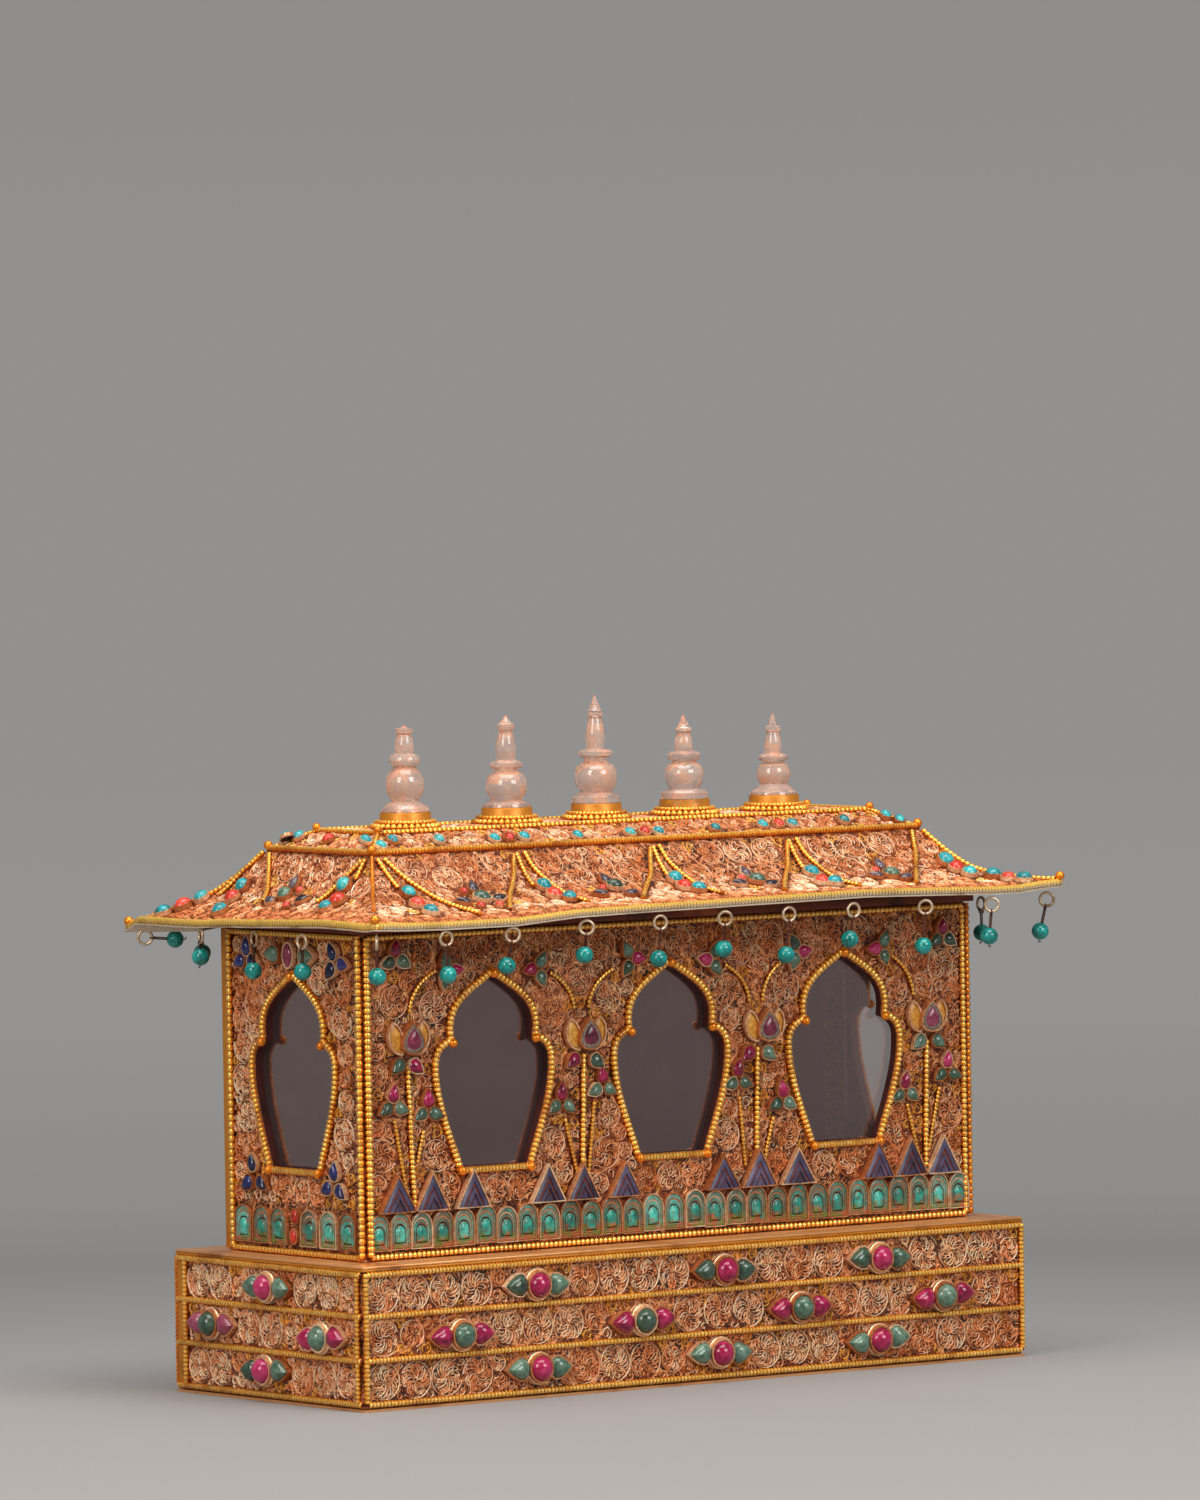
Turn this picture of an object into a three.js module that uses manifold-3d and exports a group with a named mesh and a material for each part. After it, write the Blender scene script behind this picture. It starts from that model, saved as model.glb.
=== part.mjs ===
// Altar box: a glazed cabinet of gilt and copper filigree on a stepped-border plinth, under a lift-off
// hipped roof with five crystal stupas and turquoise pendants. Millimetres, +Z up, front faces -Y.
import * as THREE from "three";
import { mergeVertices } from "three/addons/utils/BufferGeometryUtils.js";
import Module from "manifold-3d";

const wasm = await Module();
wasm.setup();

// Clearance between pieces that touch.
const fitGap = 0.3;

// Plinth.
const plinthLength = 398;
const plinthWidth = 154;
const plinthHeight = 69;
const plinthWall = 3;
const deckThickness = 1.6;
const basePlateThickness = 1.2;
const deckLip = 1;
const coilWidth = 2.6;
const coilRelief = 1.3;
const panelRows = 3;

// Cabinet walls, measured on the backing sheet that carries the filigree.
const deckMarginEnd = 15.75;
const deckMarginFront = 21;
const wallHeight = 155.5;
const wallThickness = 3;
const borderWidth = 3;
const borderRelief = 1.8;
const endWindowForward = 2;

// Windows: a pointed bulb of glass with a step at its shoulders and a narrower flat foot.
const windowSpacing = 0.2906;
const windowSill = 41.5;
const windowFootHalf = 19;
const windowBodyHalf = 33;
const windowLobeHalf = 24;
const windowBodyRise = 51;
const windowStepRise = 10;
const windowLobeRise = 7;
const windowPointRise = 24;
const frameWidth = 3;
const frameRelief = 2;
const paneThickness = 1.5;
const paneMargin = 5;

// Roof.
const trayThickness = 3.2;
const trayInset = 1.2;
const soffitThickness = 1;
const eaveOverhangEnd = 24;
const eaveOverhangFront = 46.5;
const eaveRopeWidth = 3.6;
const eaveRopeHeight = 5.2;
const rimInsetEnd = 17.5;
const rimInsetFront = 13.25;
const rimRise = 31.9;
const eaveSurfaceRise = 3;
const kneeRise = 9;
const bandInsetEnd = 16.25;
const bandInsetFront = 17.5;
const bandRise = 9;
const roofSheet = 1.6;
const ropeRadius = 1.7;
const knobRadius = 2.3;
const knobHeight = 4;
const roofBays = 4;

// Crystal stupas and their collars.
const crystalHeight = 52.4;
const crystalFoot = 12.1;
const collarRadius = 12.4;
const collarHeight = 4.2;
const collarFlange = 3.6;
const collarFlangeHeight = 4.2;
const crystalGap = fitGap;

// Pendants.
const pendantRingRadius = 4.5;
const pendantWire = 1.4;
const pendantBeadRadius = 4.1;
const pendantDrop = 14.5;
const pendantsLong = 9;
const pendantsShort = 3;

// Stones, each in a raised metal cup.
const leafLength = 9.5;
const leafWidth = 6.6;
const leafHeight = 3;
const plinthGemRadius = 7.2;
const plinthGemHeight = 6.8;
const plinthLeafLength = 14.4;
const plinthLeafWidth = 11.6;
const plinthLeafHeight = 4.6;
const lotusLength = 17.4;
const lotusWidth = 14.6;
const lotusHeight = 5;
const petalLength = 16.5;
const petalWidth = 8.5;
const petalHeight = 3.4;
const petalSpread = 9;
const coralLength = 8.4;
const coralWidth = 7;
const rubyLength = 12;
const rubyWidth = 9;
const tileHeight = 17.4;
const tileGap = 1;
const tileRelief = 2.4;
const frontTiles = 28;
const endTilesPerSide = 3;
const trianglePitch = 21.5;
const triangleHeight = 17;
const triangleRelief = 2.6;
const roofStone = 5.6;
const roofStoneHeight = 3.2;

// Facets on round work.
const latheSides = 8;
const ringSegments = 6;
const gemSides = 6;
const leafSides = 5;
const smallStoneSides = 4;

// Worked-out levels and lengths.
const deckTop = plinthHeight;
const wallBase = deckTop + fitGap;
const wallTop = wallBase + wallHeight;
const bodyLength = plinthLength - 2 * deckMarginEnd;
const bodyWidth = plinthWidth - 2 * deckMarginFront;
const windowPitch = bodyLength * windowSpacing;
const trayBase = wallTop + fitGap;
const soffitBase = trayBase + trayThickness;
const roofBase = soffitBase + soffitThickness + fitGap;
const rimHalf = { x: bodyLength / 2 - rimInsetEnd, y: bodyWidth / 2 - rimInsetFront };
const eaveHalf = { x: bodyLength / 2 + eaveOverhangEnd, y: bodyWidth / 2 + eaveOverhangFront };
const topHalf = { x: rimHalf.x - bandInsetEnd, y: rimHalf.y - bandInsetFront };
const rimZ = roofBase + rimRise;
const topZ = rimZ + bandRise;
const windowHeight = windowBodyRise + windowStepRise + windowLobeRise + windowPointRise;
const rowPitch = (plinthHeight - coilWidth) / panelRows;

// Finishes.
function finish(color, roughness, metalness) {
  return () => new THREE.MeshStandardMaterial({ color, roughness, metalness });
}
const copperFiligree = finish(0xc8825c, 0.38, 1);
const gilt = finish(0xd9a23c, 0.3, 1);
const copperSheet = finish(0xc98a66, 0.45, 1);
const darkGlass = finish(0x584c4e, 0.08, 0);
const crystal = finish(0xe8cdbb, 0.08, 0);
const turquoise = finish(0x2aa79b, 0.35, 0);

// Turns a closed geometry into a solid that can be joined and cut.
function solidOf(geometry) {
  const bare = geometry.index ? geometry.toNonIndexed() : geometry.clone();
  bare.deleteAttribute("normal");
  bare.deleteAttribute("uv");
  const merged = mergeVertices(bare, 1e-4);
  const corners = merged.index.array;
  const kept = [];
  for (let i = 0; i < corners.length; i += 3) {
    const [a, b, c] = corners.slice(i, i + 3);
    if (a !== b && b !== c && a !== c) kept.push(a, b, c);
  }
  const mesh = new wasm.Mesh({
    numProp: 3,
    vertProperties: merged.attributes.position.array,
    triVerts: new Uint32Array(kept),
  });
  return new wasm.Manifold(mesh);
}

function joined(geometries) {
  return geometries.map(solidOf).reduce((sum, piece) => sum.add(piece));
}

const altarBox = new THREE.Group();

// Adds one named piece, from a geometry or a solid.
function addPiece(name, shape, material) {
  const solid = shape.isBufferGeometry ? solidOf(shape) : shape;
  const mesh = solid.getMesh();
  const geometry = new THREE.BufferGeometry();
  geometry.setAttribute("position", new THREE.BufferAttribute(mesh.vertProperties, 3));
  geometry.setIndex(new THREE.BufferAttribute(mesh.triVerts, 1));
  geometry.computeVertexNormals();
  const piece = new THREE.Mesh(geometry, material());
  piece.name = name;
  altarBox.add(piece);
}

function box(x0, x1, y0, y1, z0, z1) {
  const block = new THREE.BoxGeometry(x1 - x0, y1 - y0, z1 - z0);
  return block.translate((x0 + x1) / 2, (y0 + y1) / 2, (z0 + z1) / 2);
}

// A bar that runs round a rectangle, or a shell: a closed loop of four-cornered sections { x, y, z }
// given counter-clockwise as seen from the front with the outside to the right.
function hoop(sections) {
  const corners = [[1, 1], [-1, 1], [-1, -1], [1, -1]];
  const positions = sections.flatMap(({ x, y, z }) => corners.flatMap(([sx, sy]) => [sx * x, sy * y, z]));
  const index = [];
  sections.forEach((section, i) => {
    const next = (i + 1) % sections.length;
    corners.forEach((corner, j) => {
      const turn = (j + 1) % corners.length;
      const [a, b, c, d] = [4 * i + j, 4 * i + turn, 4 * next + turn, 4 * next + j];
      index.push(a, b, c, a, c, d);
    });
  });
  const geometry = new THREE.BufferGeometry();
  geometry.setAttribute("position", new THREE.Float32BufferAttribute(positions, 3));
  return geometry.setIndex(index);
}

// A round rope bent round a rectangle, with few sides.
function ropeHoop(half, z, radius, sides = 6) {
  return hoop(
    Array.from({ length: sides }, (_, i) => {
      const angle = (2 * Math.PI * i) / sides;
      const out = radius * Math.cos(angle);
      return { x: half.x + out, y: half.y + out, z: z + radius * Math.sin(angle) };
    }),
  );
}

// The four faces: u runs to the right as one looks at the face, v up and w outwards.
const faces = {
  front: { right: [1, 0, 0], out: [0, -1, 0] },
  back: { right: [-1, 0, 0], out: [0, 1, 0] },
  left: { right: [0, -1, 0], out: [-1, 0, 0] },
  right: { right: [0, 1, 0], out: [1, 0, 0] },
};

function halfAcross(side, half) {
  return side === "front" || side === "back" ? half.y : half.x;
}

function halfAlong(side, half) {
  return side === "front" || side === "back" ? half.x : half.y;
}

// Places a face's own u, v, w frame: its origin is reach out from the middle, at height z.
function faceFrame(side, reach, z) {
  const right = new THREE.Vector3(...faces[side].right);
  const out = new THREE.Vector3(...faces[side].out);
  const frame = new THREE.Matrix4().makeBasis(right, new THREE.Vector3(0, 0, 1), out);
  return frame.setPosition(out.multiplyScalar(reach).setZ(z));
}

// Outlines, centred on the piece's own origin.
function teardrop(length, width, sides) {
  const widest = 0.77;
  return Array.from({ length: sides }, (_, i) => {
    const angle = (2 * Math.PI * i) / sides;
    const across = ((width / 2) * Math.sin(angle) * Math.abs(Math.sin(angle / 2))) / widest;
    return new THREE.Vector2(-across, (length / 2) * Math.cos(angle));
  });
}

function oval(length, width, sides) {
  return Array.from({ length: sides }, (_, i) => {
    const angle = (2 * Math.PI * (i + 0.5)) / sides;
    return new THREE.Vector2((width / 2) * Math.cos(angle), (length / 2) * Math.sin(angle));
  });
}

function arch(width, height) {
  const half = width / 2;
  const spring = height - half;
  const rightSide = [[half, 0], [half, spring], [half / 2, height]];
  const leftSide = [[-half / 2, height], [-half, spring], [-half, 0]];
  return [...rightSide, ...leftSide].map(([x, y]) => new THREE.Vector2(x, y));
}

// A stone in its cup: the outline raised from a little below the face, drawn in towards its top.
function stone(outline, height, { u = 0, v = 0, turn = 0, taper = 0.7, sink = 0.4 } = {}) {
  const depth = height + sink;
  const body = new THREE.ExtrudeGeometry(new THREE.Shape(outline), { depth, bevelEnabled: false });
  const position = body.attributes.position;
  for (let i = 0; i < position.count; i++) {
    if (position.getZ(i) < depth / 2) continue;
    position.setXY(i, position.getX(i) * taper, position.getY(i) * taper);
  }
  return body.translate(0, 0, -sink).rotateZ(turn).translate(u, v, 0);
}

// A small leaf-shaped stone, pointed at its upper end.
const leafOutline = [[0, 0.5], [-0.5, -0.12], [0, -0.5], [0.5, -0.12]].map(
  ([x, y]) => new THREE.Vector2(x * leafWidth, y * leafLength),
);

// Three leaves round a middle: the first points along turn.
function trefoil(u, v, turn) {
  const reach = leafLength * 0.58;
  return [0, 1, 2].map((leaf) => {
    const angle = turn + (leaf * 2 * Math.PI) / 3;
    const place = { u: u - reach * Math.sin(angle), v: v + reach * Math.cos(angle), turn: angle };
    return stone(leafOutline, leafHeight, place);
  });
}

// The window outline, with its foot on v = 0.
function windowShape(grow = 0) {
  const foot = windowFootHalf + grow;
  const body = windowBodyHalf + grow;
  const lobe = windowLobeHalf + grow;
  const stepTop = windowBodyRise + windowStepRise;
  const lobeTop = stepTop + windowLobeRise;
  const halfOutline = new THREE.Path();
  halfOutline.moveTo(foot, -grow);
  halfOutline.bezierCurveTo(foot + 5, 14, body, windowBodyRise - 17, body, windowBodyRise);
  halfOutline.lineTo(body - windowStepRise * 0.25, windowBodyRise + windowStepRise * 0.65);
  halfOutline.lineTo(lobe, stepTop);
  halfOutline.lineTo(lobe, lobeTop);
  const shoulder = lobeTop + windowPointRise * 0.5;
  halfOutline.bezierCurveTo(lobe, shoulder, lobe * 0.4, shoulder + 5, 0, windowHeight + 1.4 * grow);
  const rightHalf = halfOutline.getPoints(3);
  const leftHalf = rightHalf.slice(0, -1).reverse();
  return [...rightHalf, ...leftHalf.map((point) => new THREE.Vector2(-point.x, point.y))];
}

function windowCut(u) {
  const depth = wallThickness + 2 * frameRelief + 2;
  const cut = new THREE.ExtrudeGeometry(new THREE.Shape(windowShape()), { depth, bevelEnabled: false });
  return cut.translate(u, windowSill, -wallThickness - 1);
}

function windowFrame(u) {
  const sheet = new THREE.Shape(windowShape(frameWidth));
  const depth = frameRelief + 0.4;
  const frame = new THREE.ExtrudeGeometry(sheet, { depth, bevelEnabled: false });
  return frame.translate(u, windowSill, -0.4);
}

// The raised beaded border round a wall, as four bars.
function borderBars(u0, u1, height) {
  const raised = [-0.4, borderRelief];
  return [
    box(u0, u1, 0, borderWidth, ...raised),
    box(u0, u1, height - borderWidth, height, ...raised),
    box(u0, u0 + borderWidth, borderWidth / 2, height - borderWidth / 2, ...raised),
    box(u1 - borderWidth, u1, borderWidth / 2, height - borderWidth / 2, ...raised),
  ];
}

// A row of arched tiles standing on the bottom border.
function tileRow(u0, u1, count) {
  const pitch = (u1 - u0) / count;
  const outline = arch(pitch - tileGap, tileHeight);
  return Array.from({ length: count }, (_, i) =>
    stone(outline, tileRelief, { u: u0 + pitch * (i + 0.5), v: borderWidth + 0.6, taper: 0.9 }),
  );
}

// The lotus plants between the windows: each one's place as a share of the window pitch, and its leaf
// groups as [offset as a share of that pitch, level as a share of the wall's height, turn].
const lotusLevel = 0.662;
const plants = [
  { place: -1.465, groups: [[-0.1, 0.464, 0.2], [0.085, 0.441, 0], [-0.04, 0.92, 0], [0.22, 0.875, -1.3]] },
  { place: -0.478, groups: [[0.07, 0.494, 0], [-0.15, 0.455, 0.2], [-0.25, 0.87, 1.4], [0.25, 0.87, -1.4]] },
  { place: 0.54, groups: [[-0.165, 0.494, 0.3], [0.085, 0.426, 0], [-0.28, 0.862, 1.4], [0.2, 0.875, -1.4]] },
  { place: 1.485, groups: [[0.09, 0.48, 0], [-0.145, 0.43, -0.2], [-0.25, 0.868, 1.4], [0.06, 0.894, 0]] },
];

function lotusPlant({ place, groups }) {
  const u = place * windowPitch;
  const v = lotusLevel * wallHeight;
  const petal = oval(petalLength, petalWidth, leafSides + 1);
  const drop = stone(teardrop(lotusLength, lotusWidth, gemSides), lotusHeight, { u, v });
  const petals = [-1, 1].map((hand) =>
    stone(petal, petalHeight, { u: u + hand * petalSpread, v, turn: -0.12 * hand }),
  );
  const pairLevel = v - (lotusLength + leafLength) / 2;
  const pair = [-1, 1].map((hand) =>
    stone(leafOutline, leafHeight, { u: u + hand * leafWidth, v: pairLevel, turn: hand * -2 }),
  );
  const leaves = groups.flatMap(([across, level, turn]) =>
    trefoil(u + across * windowPitch, level * wallHeight, turn),
  );
  return [drop, ...petals, ...pair, ...leaves];
}

// Half the run of tiles along the front, inside its borders.
const tileHalf = bodyLength / 2 - borderWidth - 1;

// Lapis triangles in threes over the tiles, below each plant and inside the borders.
function triangleGroup(plantU) {
  const foot = borderWidth + tileHeight + 0.8;
  const half = triangleHeight * 0.62;
  const u = THREE.MathUtils.clamp(plantU, trianglePitch + half - tileHalf, tileHalf - trianglePitch - half);
  const outline = [[-half, 0], [half, 0], [0, triangleHeight]].map(([x, y]) => new THREE.Vector2(x, y));
  return [-1, 0, 1].map((place) =>
    stone(outline, triangleRelief, { u: u + place * trianglePitch, v: foot, taper: 0.94 }),
  );
}

// Walls.
function wallSolid(side, u0, u1, windows, relief) {
  const slab = box(u0, u1, 0, wallHeight, -wallThickness, 0);
  const solid = windows.reduce(
    (wall, u) => wall.subtract(solidOf(windowCut(u))),
    joined([slab, ...windows.map(windowFrame), ...relief]),
  );
  const across = halfAcross(side, { x: bodyLength / 2, y: bodyWidth / 2 });
  return solid.transform(faceFrame(side, across, wallBase).toArray());
}

const frontHalf = bodyLength / 2;
const frontWindows = [-1, 0, 1].map((place) => place * windowPitch);
const frontRelief = [
  ...borderBars(-frontHalf, frontHalf, wallHeight),
  ...tileRow(-tileHalf, tileHalf, frontTiles),
  ...plants.flatMap(lotusPlant),
  ...plants.flatMap(({ place }) => triangleGroup(place * windowPitch)),
];
addPiece("front_wall", wallSolid("front", -frontHalf, frontHalf, frontWindows, frontRelief), copperFiligree);
addPiece(
  "back_wall",
  wallSolid("back", -frontHalf, frontHalf, [], borderBars(-frontHalf, frontHalf, wallHeight)),
  copperFiligree,
);

// An end wall fits between the long walls.
const endHalf = bodyWidth / 2 - wallThickness - fitGap;

function endWall(side, jewelled) {
  const tileRun = endHalf - borderWidth - tileGap / 2;
  const coralHalf = (coralWidth + tileGap) / 2;
  const corner = endHalf - borderWidth - leafLength;
  const topRow = wallHeight - borderWidth - leafLength;
  const lowRow = borderWidth + tileHeight + 1.5 * leafLength;
  const windowAt = side === "left" ? endWindowForward : -endWindowForward;
  const besideRuby = (rubyWidth + leafLength) / 2 + tileGap;
  const panel = [
    ...borderBars(-endHalf, endHalf, wallHeight),
    ...tileRow(-tileRun, -coralHalf, endTilesPerSide),
    ...tileRow(coralHalf, tileRun, endTilesPerSide),
  ];
  const coral = oval(coralLength, coralWidth, leafSides);
  const jewels = [
    stone(coral, tileRelief, { v: borderWidth + coralLength * 0.6 }),
    stone(coral, tileRelief, { v: borderWidth + coralLength * 1.7 }),
    stone(leafOutline, leafHeight, { u: -besideRuby, v: topRow, turn: Math.PI / 2 }),
    stone(oval(rubyLength, rubyWidth, leafSides + 1), leafHeight, { v: topRow }),
    stone(leafOutline, leafHeight, { u: besideRuby, v: topRow, turn: -Math.PI / 2 }),
    ...[-1, 1].flatMap((hand) => trefoil(hand * corner, topRow, 0)),
    ...[-1, 1].flatMap((hand) => trefoil(hand * corner, lowRow, 0)),
  ];
  const relief = jewelled ? [...panel, ...jewels] : panel;
  addPiece(side + "_wall", wallSolid(side, -endHalf, endHalf, [windowAt], relief), copperFiligree);
  addPane(side + "_pane", side, windowAt);
}

// A pane lies flat against the inside of its wall.
function addPane(name, side, u) {
  const half = windowBodyHalf + paneMargin;
  const inner = -wallThickness - fitGap;
  const foot = windowSill - paneMargin;
  const head = windowSill + windowHeight + paneMargin;
  const sheet = box(u - half, u + half, foot, head, inner - paneThickness, inner);
  const across = halfAcross(side, { x: bodyLength / 2, y: bodyWidth / 2 });
  addPiece(name, sheet.applyMatrix4(faceFrame(side, across, wallBase)), darkGlass);
}

frontWindows.forEach((u, i) => addPane("front_pane_" + (i + 1), "front", u));
endWall("left", true);
endWall("right", false);

// Plinth: a hollow box under a thin deck, ringed by coil borders, over a loose base plate.
const baseHalf = { x: plinthLength / 2, y: plinthWidth / 2 };
const plinthBase = basePlateThickness + fitGap;

function slabAround(grow, z0, z1) {
  return box(-baseHalf.x - grow, baseHalf.x + grow, -baseHalf.y - grow, baseHalf.y + grow, z0, z1);
}

// Clusters on the plinth, as shares of the face's length: three in the outer rows, four in the middle.
const clusterPlaces = {
  long: { outer: [-0.25, 0.026, 0.27], middle: [-0.363, -0.092, 0.148, 0.372] },
  short: { outer: [0], middle: [-0.295, 0.295] },
};

function gemCluster(u, v) {
  const gem = stone(oval(2 * plinthGemRadius, 2 * plinthGemRadius, gemSides), plinthGemHeight, { u, v });
  const reach = plinthGemRadius + plinthLeafLength * 0.43;
  const leaf = teardrop(plinthLeafLength, plinthLeafWidth, leafSides);
  const leaves = [-1, 1].map((hand) =>
    stone(leaf, plinthLeafHeight, { u: u + hand * reach, v, turn: (-hand * Math.PI) / 2 }),
  );
  return [gem, ...leaves];
}

function faceClusters(side, places) {
  const length = 2 * halfAlong(side, baseHalf);
  const frame = faceFrame(side, halfAcross(side, baseHalf), 0);
  const rows = [places.outer, places.middle, places.outer];
  return rows.flatMap((row, i) =>
    row.flatMap((share) => gemCluster(share * length, coilWidth / 2 + rowPitch * (panelRows - i - 0.5))),
  ).map((geometry) => geometry.applyMatrix4(frame));
}

const coils = Array.from({ length: panelRows + 1 }, (_, i) =>
  slabAround(coilRelief, Math.max(plinthBase, i * rowPitch), i * rowPitch + coilWidth),
);
const posts = [[-1, -1], [1, -1], [1, 1], [-1, 1]].map(([sx, sy]) => {
  const x = sx * (baseHalf.x + coilRelief - coilWidth / 2);
  const y = sy * (baseHalf.y + coilRelief - coilWidth / 2);
  const half = coilWidth / 2;
  return box(x - half, x + half, y - half, y + half, plinthBase, plinthHeight - deckThickness / 2);
});
const plinthShell = joined([
  slabAround(0, plinthBase, plinthHeight - deckThickness),
  slabAround(deckLip, plinthHeight - deckThickness, plinthHeight),
  ...coils.slice(0, -1),
  slabAround(coilRelief, plinthHeight - deckThickness - coilWidth, plinthHeight - deckThickness / 2),
  ...posts,
  ...faceClusters("front", clusterPlaces.long),
  ...faceClusters("left", clusterPlaces.short),
]);
const plinthHollow = box(
  -baseHalf.x + plinthWall,
  baseHalf.x - plinthWall,
  -baseHalf.y + plinthWall,
  baseHalf.y - plinthWall,
  -plinthWall,
  plinthHeight - deckThickness,
);
addPiece("plinth_box", plinthShell.subtract(solidOf(plinthHollow)), copperFiligree);
addPiece("base_plate", slabAround(coilRelief, 0, basePlateThickness), copperSheet);

// Roof underside: a thin sheet with a shallow tray that seats on the walls.
const trayHalf = { x: bodyLength / 2 - trayInset, y: bodyWidth / 2 - trayInset };
addPiece(
  "soffit_tray",
  joined([
    box(-trayHalf.x, trayHalf.x, -trayHalf.y, trayHalf.y, trayBase, soffitBase + soffitThickness / 2),
    box(-eaveHalf.x, eaveHalf.x, -eaveHalf.y, eaveHalf.y, soffitBase, soffitBase + soffitThickness),
  ]),
  copperSheet,
);

// The lower slope's profile: run from 0 at the rim to 1 at the eave, falling steeply and then flaring.
const slope = new THREE.CubicBezierCurve(
  new THREE.Vector2(0, rimZ),
  new THREE.Vector2(0.3, roofBase + kneeRise + 1.5),
  new THREE.Vector2(0.45, roofBase + kneeRise - 2.5),
  new THREE.Vector2(1, roofBase + eaveSurfaceRise),
);
const slopeSteps = 4;

function between(a, b, share) {
  return { x: a.x + (b.x - a.x) * share, y: a.y + (b.y - a.y) * share };
}

// The roof surface at a share of the lower slope, or of the upper band where the share is negative.
function roofLevel(share) {
  if (share < 0) {
    return { ...between(rimHalf, topHalf, -share), z: rimZ + bandRise * -share };
  }
  let low = 0;
  let high = 1;
  for (let i = 0; i < 24; i++) {
    const middle = (low + high) / 2;
    if (slope.getPoint(middle).x < share) low = middle;
    else high = middle;
  }
  return { ...between(rimHalf, eaveHalf, share), z: slope.getPoint(low).y };
}

function roofShell() {
  const slopeLevels = slope.getPoints(slopeSteps).map((point) => roofLevel(point.x));
  const outside = [{ ...topHalf, z: topZ }, ...slopeLevels];
  const lowered = outside.map(({ x, y, z }) => ({ x: x - roofSheet, y: y - roofSheet, z: z - roofSheet }));
  return hoop([...lowered, ...outside.reverse()]);
}

// The frame of the roof surface, tilted with it.
function roofFrame(side, share) {
  const here = roofLevel(share);
  const above = roofLevel(share - 0.02);
  const run = halfAcross(side, here) - halfAcross(side, above);
  const fall = above.z - here.z;
  const out = new THREE.Vector3(...faces[side].out);
  const upSlope = out.clone().multiplyScalar(-run).setZ(fall).normalize();
  const away = out.clone().multiplyScalar(fall).setZ(run).normalize();
  const frame = new THREE.Matrix4().makeBasis(new THREE.Vector3(...faces[side].right), upSlope, away);
  return frame.setPosition(out.multiplyScalar(halfAcross(side, here)).setZ(here.z));
}

function roofStoneAt(side, u, share, length = roofStone, width = roofStone) {
  return stone(oval(length, width, smallStoneSides), roofStoneHeight, { u, sink: 1 }).applyMatrix4(
    roofFrame(side, share),
  );
}

// Three stones run down the slope below each rim station.
const tripleShares = [0.32, 0.48, 0.64];

function slopeStones(side, stations) {
  return stations.flatMap((u) => tripleShares.map((share) => roofStoneAt(side, u, share)));
}

function cornerKnobs(level) {
  const knob = new THREE.CylinderGeometry(knobRadius * 0.7, knobRadius, knobHeight, smallStoneSides);
  knob.rotateX(Math.PI / 2);
  return [[1, 1], [-1, 1], [-1, -1], [1, -1]].map(([sx, sy]) =>
    knob.clone().translate(sx * level.x, sy * level.y, level.z + knobHeight / 2),
  );
}

const eaveOut = eaveRopeWidth / 2;
const eaveRope = hoop([
  { x: eaveHalf.x - eaveOut, y: eaveHalf.y - eaveOut, z: roofBase },
  { x: eaveHalf.x + eaveOut, y: eaveHalf.y + eaveOut, z: roofBase },
  { x: eaveHalf.x + eaveOut, y: eaveHalf.y + eaveOut, z: roofBase + eaveRopeHeight * 0.75 },
  { x: eaveHalf.x, y: eaveHalf.y, z: roofBase + eaveRopeHeight },
  { x: eaveHalf.x - eaveOut, y: eaveHalf.y - eaveOut, z: roofBase + eaveRopeHeight * 0.75 },
]);
const bay = (2 * rimHalf.x) / roofBays;
const frontStations = Array.from({ length: roofBays + 1 }, (_, i) => (i - roofBays / 2) * bay);
const endStations = [-rimHalf.y + 2, rimHalf.y - 2];
const roofTop = box(-topHalf.x, topHalf.x, -topHalf.y, topHalf.y, topZ - roofSheet, topZ);
addPiece(
  "roof",
  joined([
    roofShell(),
    roofTop,
    eaveRope,
    ropeHoop(rimHalf, rimZ, ropeRadius),
    ropeHoop(topHalf, topZ, ropeRadius),
    ...cornerKnobs({ ...rimHalf, z: rimZ }),
    ...cornerKnobs({ ...topHalf, z: topZ }),
    ...cornerKnobs({ ...eaveHalf, z: roofBase + eaveSurfaceRise }),
    ...slopeStones("front", frontStations),
    ...slopeStones("left", endStations),
  ]),
  copperFiligree,
);

// Crystal stupas: each one's place as a share of the roof top, and its height and foot as shares of the
// middle one's.
const stupas = [
  { place: -0.768, height: 0.8, foot: 1.01 },
  { place: -0.362, height: 0.855, foot: 1 },
  { place: 0, height: 1, foot: 1 },
  { place: 0.362, height: 0.782, foot: 0.945 },
  { place: 0.732, height: 0.752, foot: 0.95 },
];

// Turned profile as shares of foot radius and height: foot, bulb, disc, shaft, cap and point.
const crystalProfile = [
  [1, 0], [1, 0.04], [0.68, 0.105], [0.87, 0.22], [0.82, 0.31], [0.46, 0.37], [0.68, 0.45], [0.41, 0.52],
  [0.4, 0.66], [0.26, 0.77], [0.36, 0.81],
];

function turned(profile) {
  const points = [[0, profile[0][1]], ...profile].map(([r, z]) => new THREE.Vector2(r, z));
  return new THREE.LatheGeometry(points, latheSides).rotateX(Math.PI / 2);
}

const flangeStep = collarFlange * 0.42;
const collarTop = collarFlangeHeight + collarHeight;
const collarProfile = [
  [collarRadius + collarFlange, 0],
  [collarRadius + collarFlange, collarFlangeHeight / 2],
  [collarRadius + collarFlange - flangeStep, collarFlangeHeight],
  [collarRadius, collarFlangeHeight],
  [collarRadius, collarTop],
  [0, collarTop],
];
const collarBase = topZ + fitGap;
stupas.forEach((stupa, i) => {
  const x = stupa.place * topHalf.x;
  const foot = stupa.foot * crystalFoot;
  const height = stupa.height * crystalHeight;
  const tipped = [...crystalProfile.map(([r, z]) => [r * foot, z * height]), [0, height]];
  const crystalBase = collarBase + collarTop + crystalGap;
  addPiece("stupa_collar_" + (i + 1), turned(collarProfile).translate(x, 0, collarBase), gilt);
  addPiece("crystal_stupa_" + (i + 1), turned(tipped).translate(x, 0, crystalBase), crystal);
});

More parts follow.
